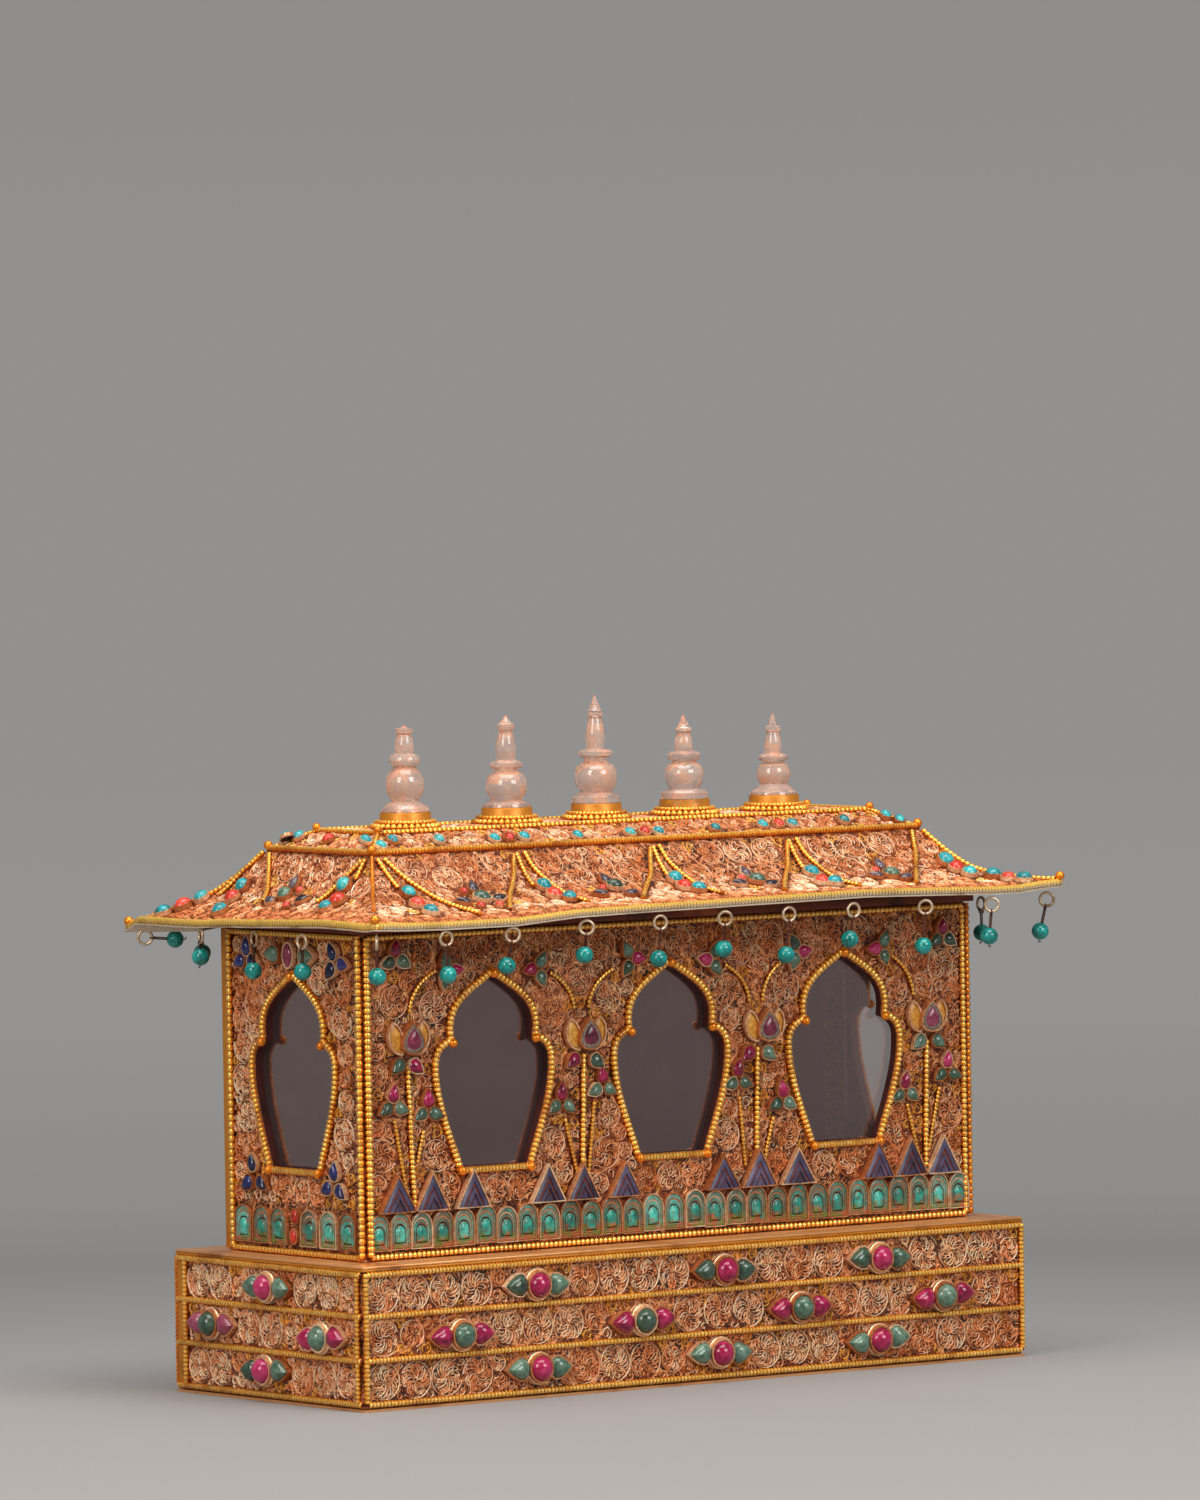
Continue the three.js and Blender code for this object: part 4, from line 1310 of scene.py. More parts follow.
PETAL = np.vstack([
    bezier((-1.2, 8.6), (-8.5, 4.5), (-6.0, -7.5), (2.0, -8.0), steps=9),
    bezier((2.0, -8.0), (5.2, -3), (4.0, 5), (-1.2, 8.6), steps=7),
])
CARVED = {
    "arch": CarvedForm(arch(12.5, 18.0, 9), 2.5, 0.5, (0.0, 6.0), (
        (1.6, 1.0), (1.9, 0.95), (1.9, 0.84), (1.45, 0.8), (1.45, 0.75), (2.0, 0.71),
        (2.0, 0.6), (1.5, 0.55), (1.5, 0.5), (2.4, 0.44), (2.8, 0.3), (3.0, 0.14),
    )),
    "triangle": CarvedForm(np.array([(-10.6, 0), (10.6, 0), (0.4, 18.0)]), 4.4, 0.6, (0.1, 0.6), (
        (3.6, 1.0), (4.3, 0.93), (4.5, 0.7), (3.6, 0.66), (3.6, 0.59), (4.6, 0.54),
        (4.8, 0.38), (3.9, 0.34), (3.9, 0.27), (4.9, 0.22), (5.0, 0.04),
    )),
    "petal": CarvedForm(PETAL, 3.2, 1.0, (-1.0, 0.0), ((2.2, 1.0), (2.7, 0.9), (3.0, 0.6), (3.1, 0.3))),
}


@cache
def knob() -> Shape:
    """Models a gilt ball with a flattened foot."""
    angles = np.linspace(-0.9, 1.3, 6)
    return turned([(2.1 * math.cos(a), 1.6 + 2.0 * math.sin(a)) for a in angles], 10).even(0.95)


@dataclass
class Jewels:
    """Stones of one sub-assembly, gathered by finish so that each finish makes one piece."""

    prefix: str
    placed: dict[Finish, Placed] = field(default_factory=dict)

    def add(self, finish: Finish, face: Face, shape: Shape, tone: float) -> None:
        """Adds a shape in this finish and tone."""
        self.placed.setdefault(finish, []).extend(on(face, shape.toned(tone)))

    def build(self, slot: str = "copper_filigree") -> None:
        """Makes one piece for each finish."""
        for finish, shapes in self.placed.items():
            build(f"{self.prefix}_{finish.name}", shapes, finish, 46)


class Workshop:
    """What all sub-assemblies draw on: filigree for near and far sides, and each setting modelled once."""

    def __init__(self) -> None:
        """Models the patterns."""
        self.settings = {name: setting.patterns() for name, setting in SETTINGS.items()}
        self.carved = {name: form.patterns() for name, form in CARVED.items()}
        self.fine, self.plain = FiligreeKit(True, 3), FiligreeKit(False, 4)

    def kit(self, side: Side) -> FiligreeKit:
        """Returns the filigree for a side, plainer where the photograph doesn't show it."""
        return self.fine if side.seen else self.plain

    def set_stone(
        self,
        jewels: Jewels,
        face: Face,
        kind: str,
        finish: Finish,
        rng: Random,
        clear: Clearing | None = None,
        **place: float,
    ) -> None:
        """Sets one stone.

        Args:
            jewels: the sub-assembly's stones.
            face: the face that it stands on.
            kind: which setting.
            finish: the stone's finish.
            rng: for its tone.
            clear: the face's room, which the stone takes from.
            **place: u, v, w, turn and scale, as in Shape.moved.
        """
        metal, stone, filler = self.settings[kind]
        jewels.add(COPPER_CUP, face, metal.moved(**place), rng.uniform(0.3, 0.9))
        jewels.add(finish, face, stone.moved(**place), rng.uniform(0.1, 0.9))
        if filler:
            jewels.add(CEMENT, face, filler.moved(**place), rng.uniform(0.3, 0.7))
        if clear:
            clear.block_circle(place["u"], place["v"], SETTINGS[kind].room)


# the walls

# How far a raised point seems shifted along a long side and an end in the photograph, as a share of its height.
LONG_LEAN, END_LEAN = 0.745, 1.34
# The same for leaves, triangles and stems on the front, in millimetres and back to their feet.
LEAF_SHIFT, TRIANGLE_SHIFT, STEM_SHIFT = -2.4, -1.7, -0.8


class WindowForm:
    """The pointed bulb of a window, stepped at its shoulders."""

    APEX = 202.8
    CORNERS = ((0, 0.5), (24.6, -31.8), (20.4, -93.2))
    RIGHT = np.vstack([
        bezier((0, 0), (10, -7), (24, -12), (24, -25), steps=9),
        bezier((24, -25), (23.5, -31.5), steps=2),
        bezier((23.5, -31.5), (32.5, -34), (33, -41), steps=5),
        bezier((33, -41), (34, -58), (24, -78), (19.2, -92), steps=9),
        [(19.2, -92)],
    ])
    OUTLINE = np.vstack([RIGHT * (-1, 1), RIGHT[:0:-1]]) + (0, APEX)

    @classmethod
    def at(cls, u: float, by: float = 0.0) -> Array:
        """Returns the outline round a window's middle, grown by some millimetres."""
        return (grown(cls.OUTLINE, by) if by else cls.OUTLINE) + (u, 0)


@dataclass
class Wall:
    """One side of the cabinet: a sheet with windows, beaded borders, filigree and set stones."""

    side: Side
    node: str
    reach: float
    half: float
    windows: tuple[float, ...]
    seed: int
    shop: Workshop
    foot: float = 69.3
    top: float = 224.8
    thick: float = 3.0

    def __post_init__(self) -> None:
        """Prepares the face, its free room and its jewels."""
        self.face = FlatFace(self.side, self.reach)
        self.jewels = Jewels(f"{self.node}_stones")
        self.clear = Clearing(-self.half + 3, self.half - 3, self.foot + 3.2, self.top - 3)
        self.rng = np.random.default_rng(self.seed)
        self.gold: Placed = []

    def build(self) -> None:
        """Builds every part of the wall."""
        holes = [WindowForm.at(u) for u in self.windows]
        whole = sheet(rectangle(self.half, self.foot, self.top), holes, self.thick)
        build(f"{self.node}_sheet", on(self.face, whole), LOW_WIRES, 30, self.node)
        self.frames()
        self.borders()
        self.dress()
        wheels = self.shop.kit(self.side).fill(self.clear, self.seed, 8.5)
        build(f"{self.node}_filigree", on(self.face, *wheels), FILIGREE, 60)
        build(f"{self.node}_gilt", self.gold, GILT_WIRE, 80)
        self.jewels.build()

    def gild(self, shape: Shape) -> None:
        """Adds a gilt part."""
        self.gold += on(self.face, shape)

    def frames(self) -> None:
        """Edges each window with beads, a copper strip, a dark jamb, balls at its corners and a coil at its sill."""
        strips, jambs = [], []
        for u in self.windows:
            line = WindowForm.at(u, 1.5)
            self.gild(FRAME_BEADS.run(lifted(np.vstack([line[26:], line[:26]]), 1.2)))
            for shapes, by, low, high in ((strips, 0.15, 0.5, 1.9), (jambs, 0.05, -3.25, 0.6)):
                section = np.array([[-0.3, low], [-0.3, high], [0.3, high], [0.3, low]])
                shapes += on(self.face, sweep(lifted(WindowForm.at(u, by)), section, closed=True))
            (x, y), apex = WindowForm.CORNERS[2], WindowForm.APEX
            self.gild(SILL_COIL.line((u - x, apex + y), (u + x, apex + y), 1.3))
            for a, b in WindowForm.CORNERS:
                for s in (-1, 1) if a else (1,):
                    self.gild(knob().moved(u + s * a, apex + b, 0.9, 0, 1.12))
            self.clear.block_outline(WindowForm.at(u, 3.0), 0.1)
        if strips:
            build(f"{self.node}_window_strips", strips, COPPER_CUP, 40)
            build(f"{self.node}_window_jambs", jambs, DARK_LINING, 40)

    def borders(self) -> None:
        """Runs the beaded borders round the wall."""
        a, b, c, d = -self.half + 2.6, self.half - 2.3, self.foot + 1.8, self.top - 1.7
        self.gild(CORNER_BEADS.line((a, c), (a, d), 1.6))
        for ends in (((b, c), (b, d)), ((a, c), (b, c)), ((a, d), (b, d))):
            self.gild(WALL_BORDER.line(*ends))

    def dress(self) -> None:
        """Adds what only this wall has."""
        raise NotImplementedError

    def stone(self, kind: str, finish: Finish, u: float, v: float, turn: float = 0.0, **more: float) -> None:
        """Sets a stone with the room it takes."""
        place = {"u": u, "v": v, "turn": math.radians(turn), **more}
        self.shop.set_stone(self.jewels, self.face, kind, finish, self.rng, self.clear, **place)

    def trefoil(self, u: float, v: float, turn: float, spread: float, reach: float) -> None:
        """Sets a ruby leaf that points by turn, 0 being up, and two green ones spread from it."""
        for finish, angle in ((RUBY, turn), (GREEN, turn + spread), (GREEN, turn - spread)):
            a = math.radians(angle)
            at = u - reach * math.sin(a), v + reach * math.cos(a)
            shake = self.rng.uniform(-14, 14)
            self.stone("leaf", finish, *at, angle + shake, scale=self.rng.uniform(0.86, 0.98))

    def stem(self, path: Sequence[Point], rope: Rope, shift: float = 0.0) -> None:
        """Lays a beaded stem, shifted along the wall, and takes its room."""
        path = [(u + shift, v) for u, v in path]
        self.gild(rope.run(lifted(resample(path, 3.0), rope.radius * 0.8)))
        self.clear.block_line(path, rope.radius)

    def tile(self, kind: str, u: float, v: float, stone: Finish, scale: Sequence[float]) -> None:
        """Sets one carved tile in its copper strip."""
        for pattern, finish, least in zip(self.shop.carved[kind], (COPPER_CUP, stone), (0.4, 0.1)):
            self.jewels.add(finish, self.face, pattern.moved(u, v, scale=scale), self.rng.uniform(least, 0.9))


@dataclass
class FrontWall(Wall):
    """The front: three windows, four lotus plants, lapis triangles and a row of tiles.

    Places are read from the photograph, which shows a raised stone further along than its foot.
    """

    lotuses: tuple[Point, ...] = ((-152.5, 174.4), (-47.4, 171.4), (61.1, 170.1), (162.2, 169.7))
    upper_stems: tuple = (
        ((-154.6, 186.4), (-139.5, 205.7)), ((-56.8, 183.5), (-71.4, 202)), ((-48.4, 183.5), (-33, 202.1)),
        ((49.4, 181.7), (34.4, 200.9)), ((57.3, 181.8), (68.2, 199.8)), ((151.1, 180.1), (136.5, 201)),
    )
    stems: tuple = (
        ((-156.4, 162), (-155, 128), (-153.6, 94.2)), ((-51.9, 162), (-53.5, 100)),
        ((53.5, 160), (52.2, 100)), ((158.7, 158), (157, 95.4)),
    )
    twigs: tuple = (
        ((-164.5, 135.9), (-158.1, 101.6)), ((-147.3, 130.1), (-151.4, 114.6)), ((-63.5, 131.3), (-56.4, 104)),
        ((-45.7, 138.5), (-49.8, 104)), ((42.3, 136.2), (45.5, 102)), ((63, 125.3), (56.5, 102)),
        ((146, 127.1), (152.8, 102.1)), ((166.6, 134.4), (159.1, 103.2)),
    )
    pairs: tuple = (
        ((-9.1, -13.4, GREEN), (2.1, -13.9, RUBY)), ((-10.5, -13, RUBY), (4.5, -13.8, GREEN)),
        ((-12.9, -13.7, RUBY), (0.6, -14.2, GREEN)), ((-7.8, -12.9, GREEN), (4.8, -13.1, GREEN)),
    )
    groups: tuple = (
        ((-11.6, -30.9), (8.7, -34.4)), ((7.3, -25.2), (-17.2, -32.2)),
        ((-18.6, -25.1), (8.3, -36.7)), ((10.3, -27.3), (-16.4, -36.1)),
    )
    crowns: tuple = (
        (-161.6, 212.7, 0), (-130.5, 205.8, -90), (-77.3, 203.9, 90), (-22, 206.4, -90),
        (28, 204, 90), (79.6, 205.2, -90), (132.2, 204.4, 90), (170.4, 208.3, 0),
    )
    apexes: tuple = (-163.9, -143.9, -119.6, -75.1, -54.1, -28.8, 30.8, 52.8, 76.8, 126.5, 146.9, 167.3)
    tiles: int = 29
    tile_ends: Point = (-175.9, 176.1)
    tile_foot: float = 73.8

    def dress(self) -> None:
        """Plants the lotuses, sets the triangles and tiles and lays the stems."""
        for lotus, pair, groups in zip(self.lotuses, self.pairs, self.groups):
            self.lotus(*lotus, pair, groups)
        for u, v, turn in self.crowns:
            self.trefoil(u + LEAF_SHIFT, v, turn, 112, 5.2)
        for u in self.apexes:
            scale = (self.rng.uniform(0.94, 1.04), self.rng.uniform(0.94, 1.08), 1)
            self.tile("triangle", u + TRIANGLE_SHIFT, 91.6, SLATE, scale)
            self.clear.block_outline(np.array([(u - 12.4, 91), (u + 9, 91), (u + TRIANGLE_SHIFT, 109.5)]), 0.4)
        first, last = self.tile_ends
        pitch = (last - first) / (self.tiles - 1)
        for k in range(self.tiles):
            u = first + k * pitch + self.rng.uniform(-0.3, 0.3)
            foot = self.tile_foot + self.rng.uniform(-0.4, 0.5)
            self.tile("arch", u, foot, TILE, (1, self.rng.uniform(0.96, 1.03), 1))
        self.clear.block_outline(rectangle(self.half, 60, 92.2), 0.0)
        for (a, b), (c, d) in self.upper_stems:
            bent = bezier((a, b), (a + 0.08 * (c - a), b + 0.68 * (d - b)), (c, d), steps=8)
            self.stem([*bent, (c, d)], UPPER_STEM, STEM_SHIFT)
        for path in self.stems:
            self.stem(path, STEM, STEM_SHIFT)
        for path in self.twigs:
            self.stem(path, THIN_STEM, STEM_SHIFT)

    def lotus(self, a: float, b: float, pair: Sequence, groups: Sequence[Point]) -> None:
        """Sets one lotus: a drop between two petals, a pair of leaves under it and two groups of leaves."""
        u = a - LONG_LEAN * 4.6
        for s, aside in ((-1, -7.8), (1, 5.6)):
            place = {"u": u + aside, "v": b - 0.2, "turn": math.radians(-5 * s), "mirror": s > 0}
            for pattern, finish, tone in zip(self.shop.carved["petal"], (COPPER_CUP, AMBER), (0.7, 0.5)):
                self.jewels.add(finish, self.face, pattern.moved(**place), tone)
        self.stone("lotus", DULL_RUBY, u, b)
        for s in (-1, 1):
            self.clear.block_circle(u + s * 8.6, b, 6.6)
        for (du, dv, finish), s in zip(pair, (1, -1)):
            self.stone("leaf", finish, a + du + LEAF_SHIFT, b + dv, s * 128)
        for du, dv in groups:
            self.trefoil(a + du + LEAF_SHIFT, b + dv, 0, 118, 5.4)


@dataclass
class EndWall(Wall):
    """An end: one window, a short row of tiles, and lapis trefoils at the window's corners.

    Places are read on the left end, along Y; the right end mirrors it.
    """

    lapis: tuple = (
        ((-37.0, 216.6), (-45.8, 210.4), (-35.4, 206.8)), ((33.6, 217.0), (40.0, 209.0), (28.2, 209.0)),
        ((32.2, 112.6), (36.4, 102.0), (24.2, 102.4)), ((-36.2, 111.6), (-29.4, 102.6), (-41.0, 101.4)),
    )

    def dress(self) -> None:
        """Sets the stones and the columns on the long walls' ends."""
        for y in (41.4, 26.2, 12.0, -13.4, -29.3, -45.0):
            self.tile("arch", self.flip(y), 74.0, TILE, (1.12, 1.0, 1))
        self.clear.block_outline(rectangle(self.half, 60, 93.2), 0.0)
        for y, v in ((-1.0, 88.1), (0.2, 78.4)):
            self.stone("coral", CORAL, self.flip(y), v)
        for group in self.lapis:
            middle = np.mean(group, axis=0)
            for y, v in group:
                out = math.degrees(math.atan2(-(self.flip(y) - self.flip(middle[0])), v - middle[1]))
                self.stone("leaf", LAPIS, self.flip(y), v, out, scale=self.rng.uniform(0.94, 1.06))
        self.stone("leaf", GREEN, self.flip(12.0), 213.6, self.flip(-90), scale=1.25)
        self.stone("oval", DULL_RUBY, self.flip(-0.4), 213.3)
        self.stone("leaf", GREEN, self.flip(-17.2), 213.5, self.flip(90), scale=1.3)
        for y, lift in ((-56.2, 1.4), (50.6, 1.3)):
            self.gild(END_BEADS.line((self.flip(y), 70.6), (self.flip(y), 224.2), lift))
        strip = block(sorted((self.flip(53.4), self.flip(57.8))), (70.0, 224.6), (0.0, 1.0))
        build(f"{self.node}_far_strip", on(self.face, strip), GOLD_STRIP, 40)

    def flip(self, y: float) -> float:
        """Turns a place along Y, or a drop's direction, into the face's own."""
        return -y if self.side is Side.LEFT else y

    def borders(self) -> None:
        """Runs the borders at the foot and the top; dress adds the upright ones."""
        a, b = sorted((self.flip(-54.0), self.flip(50.6)))
        for v in (self.foot + 1.6, self.top - 1.5):
            self.gild(WALL_BORDER.line((a, v), (b, v)))


@dataclass
class BackWall(Wall):
    """The back: no windows, six plain panels of filigree between beaded bars."""

    def dress(self) -> None:
        """Adds the bars between the panels."""
        for k in range(1, 6):
            u = -self.half + k * self.half / 3
            self.stem([(u, self.foot + 3), (u, self.top - 3)], WALL_BORDER)


@dataclass
class Cabinet:
    """The four walls, the glass, the dark lining and the tray under the roof."""

    shop: Workshop
    half_long: float = 183.25
    half_deep: float = 56.0
    half_end: float = 52.7

    def build(self) -> None:
        """Builds the walls in order, then the inside."""
        a, b, c, shop = self.half_long, self.half_deep, self.half_end, self.shop
        FrontWall(Side.FRONT, "front_wall", b, a, (-106.5, 0.0, 106.5), 11, shop).build()
        EndWall(Side.LEFT, "left_wall", a, c, (2.0,), 12, shop).build()
        EndWall(Side.RIGHT, "right_wall", a, c, (-2.0,), 13, shop).build()
        BackWall(Side.BACK, "back_wall", b, a, (), 14, shop).build()
        self.inside()

    def inside(self) -> None:
        """Lines the cabinet and gives glass and tray their finishes."""
        long, deep = (-178.0, 178.0), (-50.6, 51.5)
        back = block(long, (51.6, 52.8), (69.6, 224.5))
        floor, ceiling = (block(long, deep, z) for z in ((69.5, 70.1), (224.0, 224.7)))
        build("cabinet_lining", on(Level(), back, floor, ceiling), DARK_LINING, 40)
        for name, node in NODES.items():
            if name.endswith("pane") or "_pane_" in name:
                dress_node(node, GLASS)
        # The tray takes the dark backing sheet as painted shade under the eave.
        tray = block((-186.0, 186.0), (-61.0, 61.0), (225.2, 229.2))
        build("soffit", on(Level(), tray), BACKING, 40, "soffit_tray")


# the plinth


@dataclass
class Plinth:
    """The hollow foot: three rows of filigree between coils, stone clusters and a smooth deck.

    A cluster has its place as the photograph shows it, its height, and whether a green stone is in its middle.
    """

    shop: Workshop
    half_long: float = 199.0
    half_deep: float = 77.0
    foot: float = 1.5
    top: float = 69.0
    coils: tuple[float, ...] = (3.4, 24.2, 45.2, 65.0)
    rows: tuple[float, ...] = (13.8, 34.7, 55.1)
    front_clusters: tuple = (
        (-94.6, 54.5, 0), (18.1, 54.5, 0), (113.5, 54.5, 0),
        (-139.4, 33.3, 1), (-31.5, 33.3, 1), (64.2, 33.3, 1), (153.1, 33.3, 1),
        (-94.2, 14.5, 0), (14.8, 14.5, 0), (112.1, 14.5, 0),
    )
    left_clusters: tuple = ((7.2, 55.2, 0), (53.9, 35.0, 1), (-37.3, 33.5, 1), (9.6, 15.1, 0))
    lift: float = 6.0

    def build(self) -> None:
        """Builds the shell, each side's work, and the stones."""
        self.jewels = Jewels("plinth_stones")
        self.gold: Placed = []
        self.shell()
        for side in Side:
            self.dress_side(side)
        build("plinth_coils", self.gold, GILT_WIRE, 80)
        self.jewels.build()

    def shell(self) -> None:
        """Builds the box under the filigree and the deck on it."""
        a, b = self.half_long, self.half_deep
        body = block((-a, a), (-b, b), (self.foot, self.top - 1.3), 0.5)
        build("plinth_body", on(Level(), body), BACKING, 40, "plinth_box")
        deck = block((-a - 1.1, a + 1.1), (-b - 1.1, b + 1.1), (self.top - 1.2, self.top), 0.45)
        build("plinth_deck", on(Level(), deck), COPPER_SHEET, 40)
        edge = []
        for side in Side:
            half, reach = (a, b) if side.long else (b, a)
            strip = block((-half - 0.9, half + 0.9), (66.6, 67.7), (0.0, 1.3), 0.3)
            edge += on(FlatFace(side, reach), strip)
        edge += on(FlatFace(Side.LEFT, a), block((-b, -b + 4.6), (self.foot, 66.4), (0.0, 0.9), 0.3))
        build("plinth_gold_strip", edge, GOLD_STRIP, 40)
        dress_node(NODES["base_plate"], COPPER_SHEET)

    def dress_side(self, side: Side) -> None:
        """Covers one side of the plinth."""
        half, reach = (self.half_long, self.half_deep) if side.long else (self.half_deep, self.half_long)
        face = FlatFace(side, reach)
        rng = np.random.default_rng(40 + side.number)
        low, high = self.columns(side, half)
        clear = Clearing(low + 1.8, high - 1.8, 4.2, 64.0)
        for v in self.coils:
            self.gold += on(face, PLINTH_COIL.line((-half + 0.6, v), (half - 0.6, v)))
            clear.block_line([(-half, v), (half, v)], 1.0)
        for u in (low, high):
            self.gold += on(face, PLINTH_POST.line((u, 4.0), (u, 66.0), 1.3))
        for place, v, green in self.front_clusters if side.long else self.left_clusters:
            u = self.true_place(side, place)
            self.cluster(face, rng, u, v, (GREEN, RUBY) if green else (RUBY, GREEN))
            clear.block_circle(u, v, 7.4)
            for s in (-1, 1):
                clear.block_circle(u + s * 13.4, v, 5.0)
                clear.block_circle(u + s * 17.4, v, 2.4)
        low_wires = skin([(-half, half, 1.6), (-half, half, 66.5)])
        build(f"plinth_low_wires_{side.label}", on(face, low_wires), LOW_WIRES, 30)
        shapes = self.shop.kit(side).fill(clear, 60 + side.number, 9.4, 1.0, self.rows)
        build(f"plinth_filigree_{side.label}", on(face, *shapes), FILIGREE, 60)

    @staticmethod
    def columns(side: Side, half: float) -> Point:
        """Returns the places of a side's two corner columns."""
        if side.long:
            return -half + 0.1, half - 0.1
        near, far = 3.9, 7.2
        return (-half + far, half - near) if side is Side.LEFT else (-half + near, half - far)

    def true_place(self, side: Side, seen: float) -> float:
        """Shifts a cluster's seen place back by its height and turns it to the side's own direction."""
        if side.long:
            u = seen - LONG_LEAN * self.lift
            return u if side is Side.FRONT else -u
        y = seen - END_LEAN * self.lift
        return -y if side is Side.LEFT else y

    def cluster(self, face: Face, rng: Random, u: float, v: float, finishes: tuple[Finish, Finish]) -> None:
        """Sets a cabochon between two leaves, some ruby ones dull, with two rings round it."""
        middle, leaf = finishes
        if rng.random() < 0.3:
            leaf = DULL_RUBY if leaf is RUBY else leaf
        tilt = rng.uniform(-5, 5)
        for s in (-1, 1):
            place = {"u": u + s * 12.6, "v": v - s * tilt * 0.2, "turn": math.radians(-90 * s + tilt)}
            self.shop.set_stone(self.jewels, face, "plinth_leaf", leaf, rng, **place)
        self.shop.set_stone(self.jewels, face, "plinth_round", middle, rng, u=u, v=v)
        for radius, w in ((7.6, 0.5), (7.5, 3.2)):
            ring = sweep(circle(radius, 20, u, v, w), round_section(5), 0.5, closed=True)
            self.jewels.add(COPPER_CUP, face, ring, 0.9)


# the roof


@dataclass(frozen=True)
class RoofForm:
    """The roof's shape: a flared slope from eave to rim, a raised band from rim to top, and the eave's waves.

    Its t is 1 at the eave, 0 at the rim and -1 at the top. Each wave gives how far the eave departs from
    level at a share of the side's half length.
    """

    eave: Point = (207.25, 102.5)
    rim: Point = (165.75, 42.75)
    top: Point = (149.5, 25.25)
    top_z: float = 270.5
    profile: tuple = ((0, 261.8), (0.18, 250.5), (0.36, 241.6), (0.55, 237.2), (0.78, 234.4), (1, 232.8))
    waves: tuple = (
        (Side.FRONT, (
            (-1, -0.7), (-0.92, -1.5), (-0.8, -2), (-0.6, -2), (-0.43, 0.4), (-0.22, 1.1), (0.2, 2.0),
            (0.41, 2.5), (0.62, 1.5), (0.79, 0.5), (0.87, 0.5), (0.92, 1.6), (1, 2.6),
        )),
        (Side.LEFT, (
            (-1, -8), (-0.9, -4), (-0.73, -4), (-0.59, -4.2), (-0.39, -4), (-0.2, -3), (0, -2.6),
            (0.2, -1.9), (0.39, -1.3), (0.59, -0.7), (0.78, -1), (0.93, -1.5), (1, -0.7),
        )),
        (Side.RIGHT, ((-1, 2.6), (-0.8, 0.5), (0.2, -0.6), (0.8, 0.2), (1, 0))),
        (Side.BACK, ((-1, 0), (-0.8, -0.8), (-0.3, -1.2), (0.3, -2), (0.8, -3.4), (1, -8))),
    )

    def half(self, side: Side, t: Array | float, across: bool = False) -> Array:
        """Returns half the length of the slope at t, or with across its distance from the middle."""
        k = int(side.long == across)
        eave, rim, top = self.eave[k], self.rim[k], self.top[k]
        return np.where(t < 0, rim + (rim - top) * t, rim + (eave - rim) * t)

    def height(self, t: Array) -> Array:
        """Returns the height of the surface at t, smoothed along the slope."""
        ts, zs = np.array(self.profile).T
        spread = np.linspace(-0.07, 0.07, 7)
        lower = np.mean([np.interp(np.clip(t + d * np.clip(t * 6, 0, 1), 0, 1), ts, zs) for d in spread], axis=0)
        return np.where(t < 0, zs[0] + (zs[0] - self.top_z) * t, lower)

    def wave(self, side: Side, share: Array | float, t: Array | float) -> Array:
        """Returns how far the surface departs from level, most at the eave."""
        at, dz = np.array(dict(self.waves)[side]).T
        return np.interp(share, at, dz) * np.clip((t - 0.25) / 0.75, 0, 1) ** 1.6

    def section(self, side: Side) -> tuple[Array, Array, Array, Array]:
        """Returns t, distance out, height and slant length v at close steps down the slope."""
        t = np.linspace(-1, 1, 161)
        out, z = self.half(side, t, True), self.height(t)
        run = np.concatenate([[0], np.cumsum(np.hypot(np.diff(out), np.diff(z)))])
        return t, out, z, run[len(t) // 2] - run

    def slant(self, side: Side, t: float) -> float:
        """Returns v at a share t of the slope."""
        ts, _, _, v = self.section(side)
        return float(np.interp(t, ts, v))


@dataclass(frozen=True)
class RoofFace(Face):
    """One slope, unrolled: u along it and v up it, 0 at the rim."""

    side: Side
    form: RoofForm

    def place(self, points: Array) -> Array:
        """Lays points on the slope."""
        u, v, w = np.asarray(points, dtype=float).T
        t, out, z, slant = self.form.section(self.side)
        at = np.interp(v, slant[::-1], t[::-1])
        lean, rise = np.interp(at, t, np.gradient(z, slant)), -np.interp(at, t, np.gradient(out, slant))
        share = np.clip(u / self.form.half(self.side, at), -1, 1)
        height = np.interp(at, t, z) + self.form.wave(self.side, share, at)
        size = np.hypot(lean, rise)
        return self.side.place(u, np.interp(at, t, out) + w * lean / size, height + w * rise / size)


@dataclass(frozen=True)
class SlopeWork:
    """What is laid and set on a slope. Places are along X or Y, then t of the roof's form; flowers add a turn."""

    ribs: tuple
    chains: tuple
    triples: tuple
    flowers: tuple
    hearts: tuple
    corals: tuple


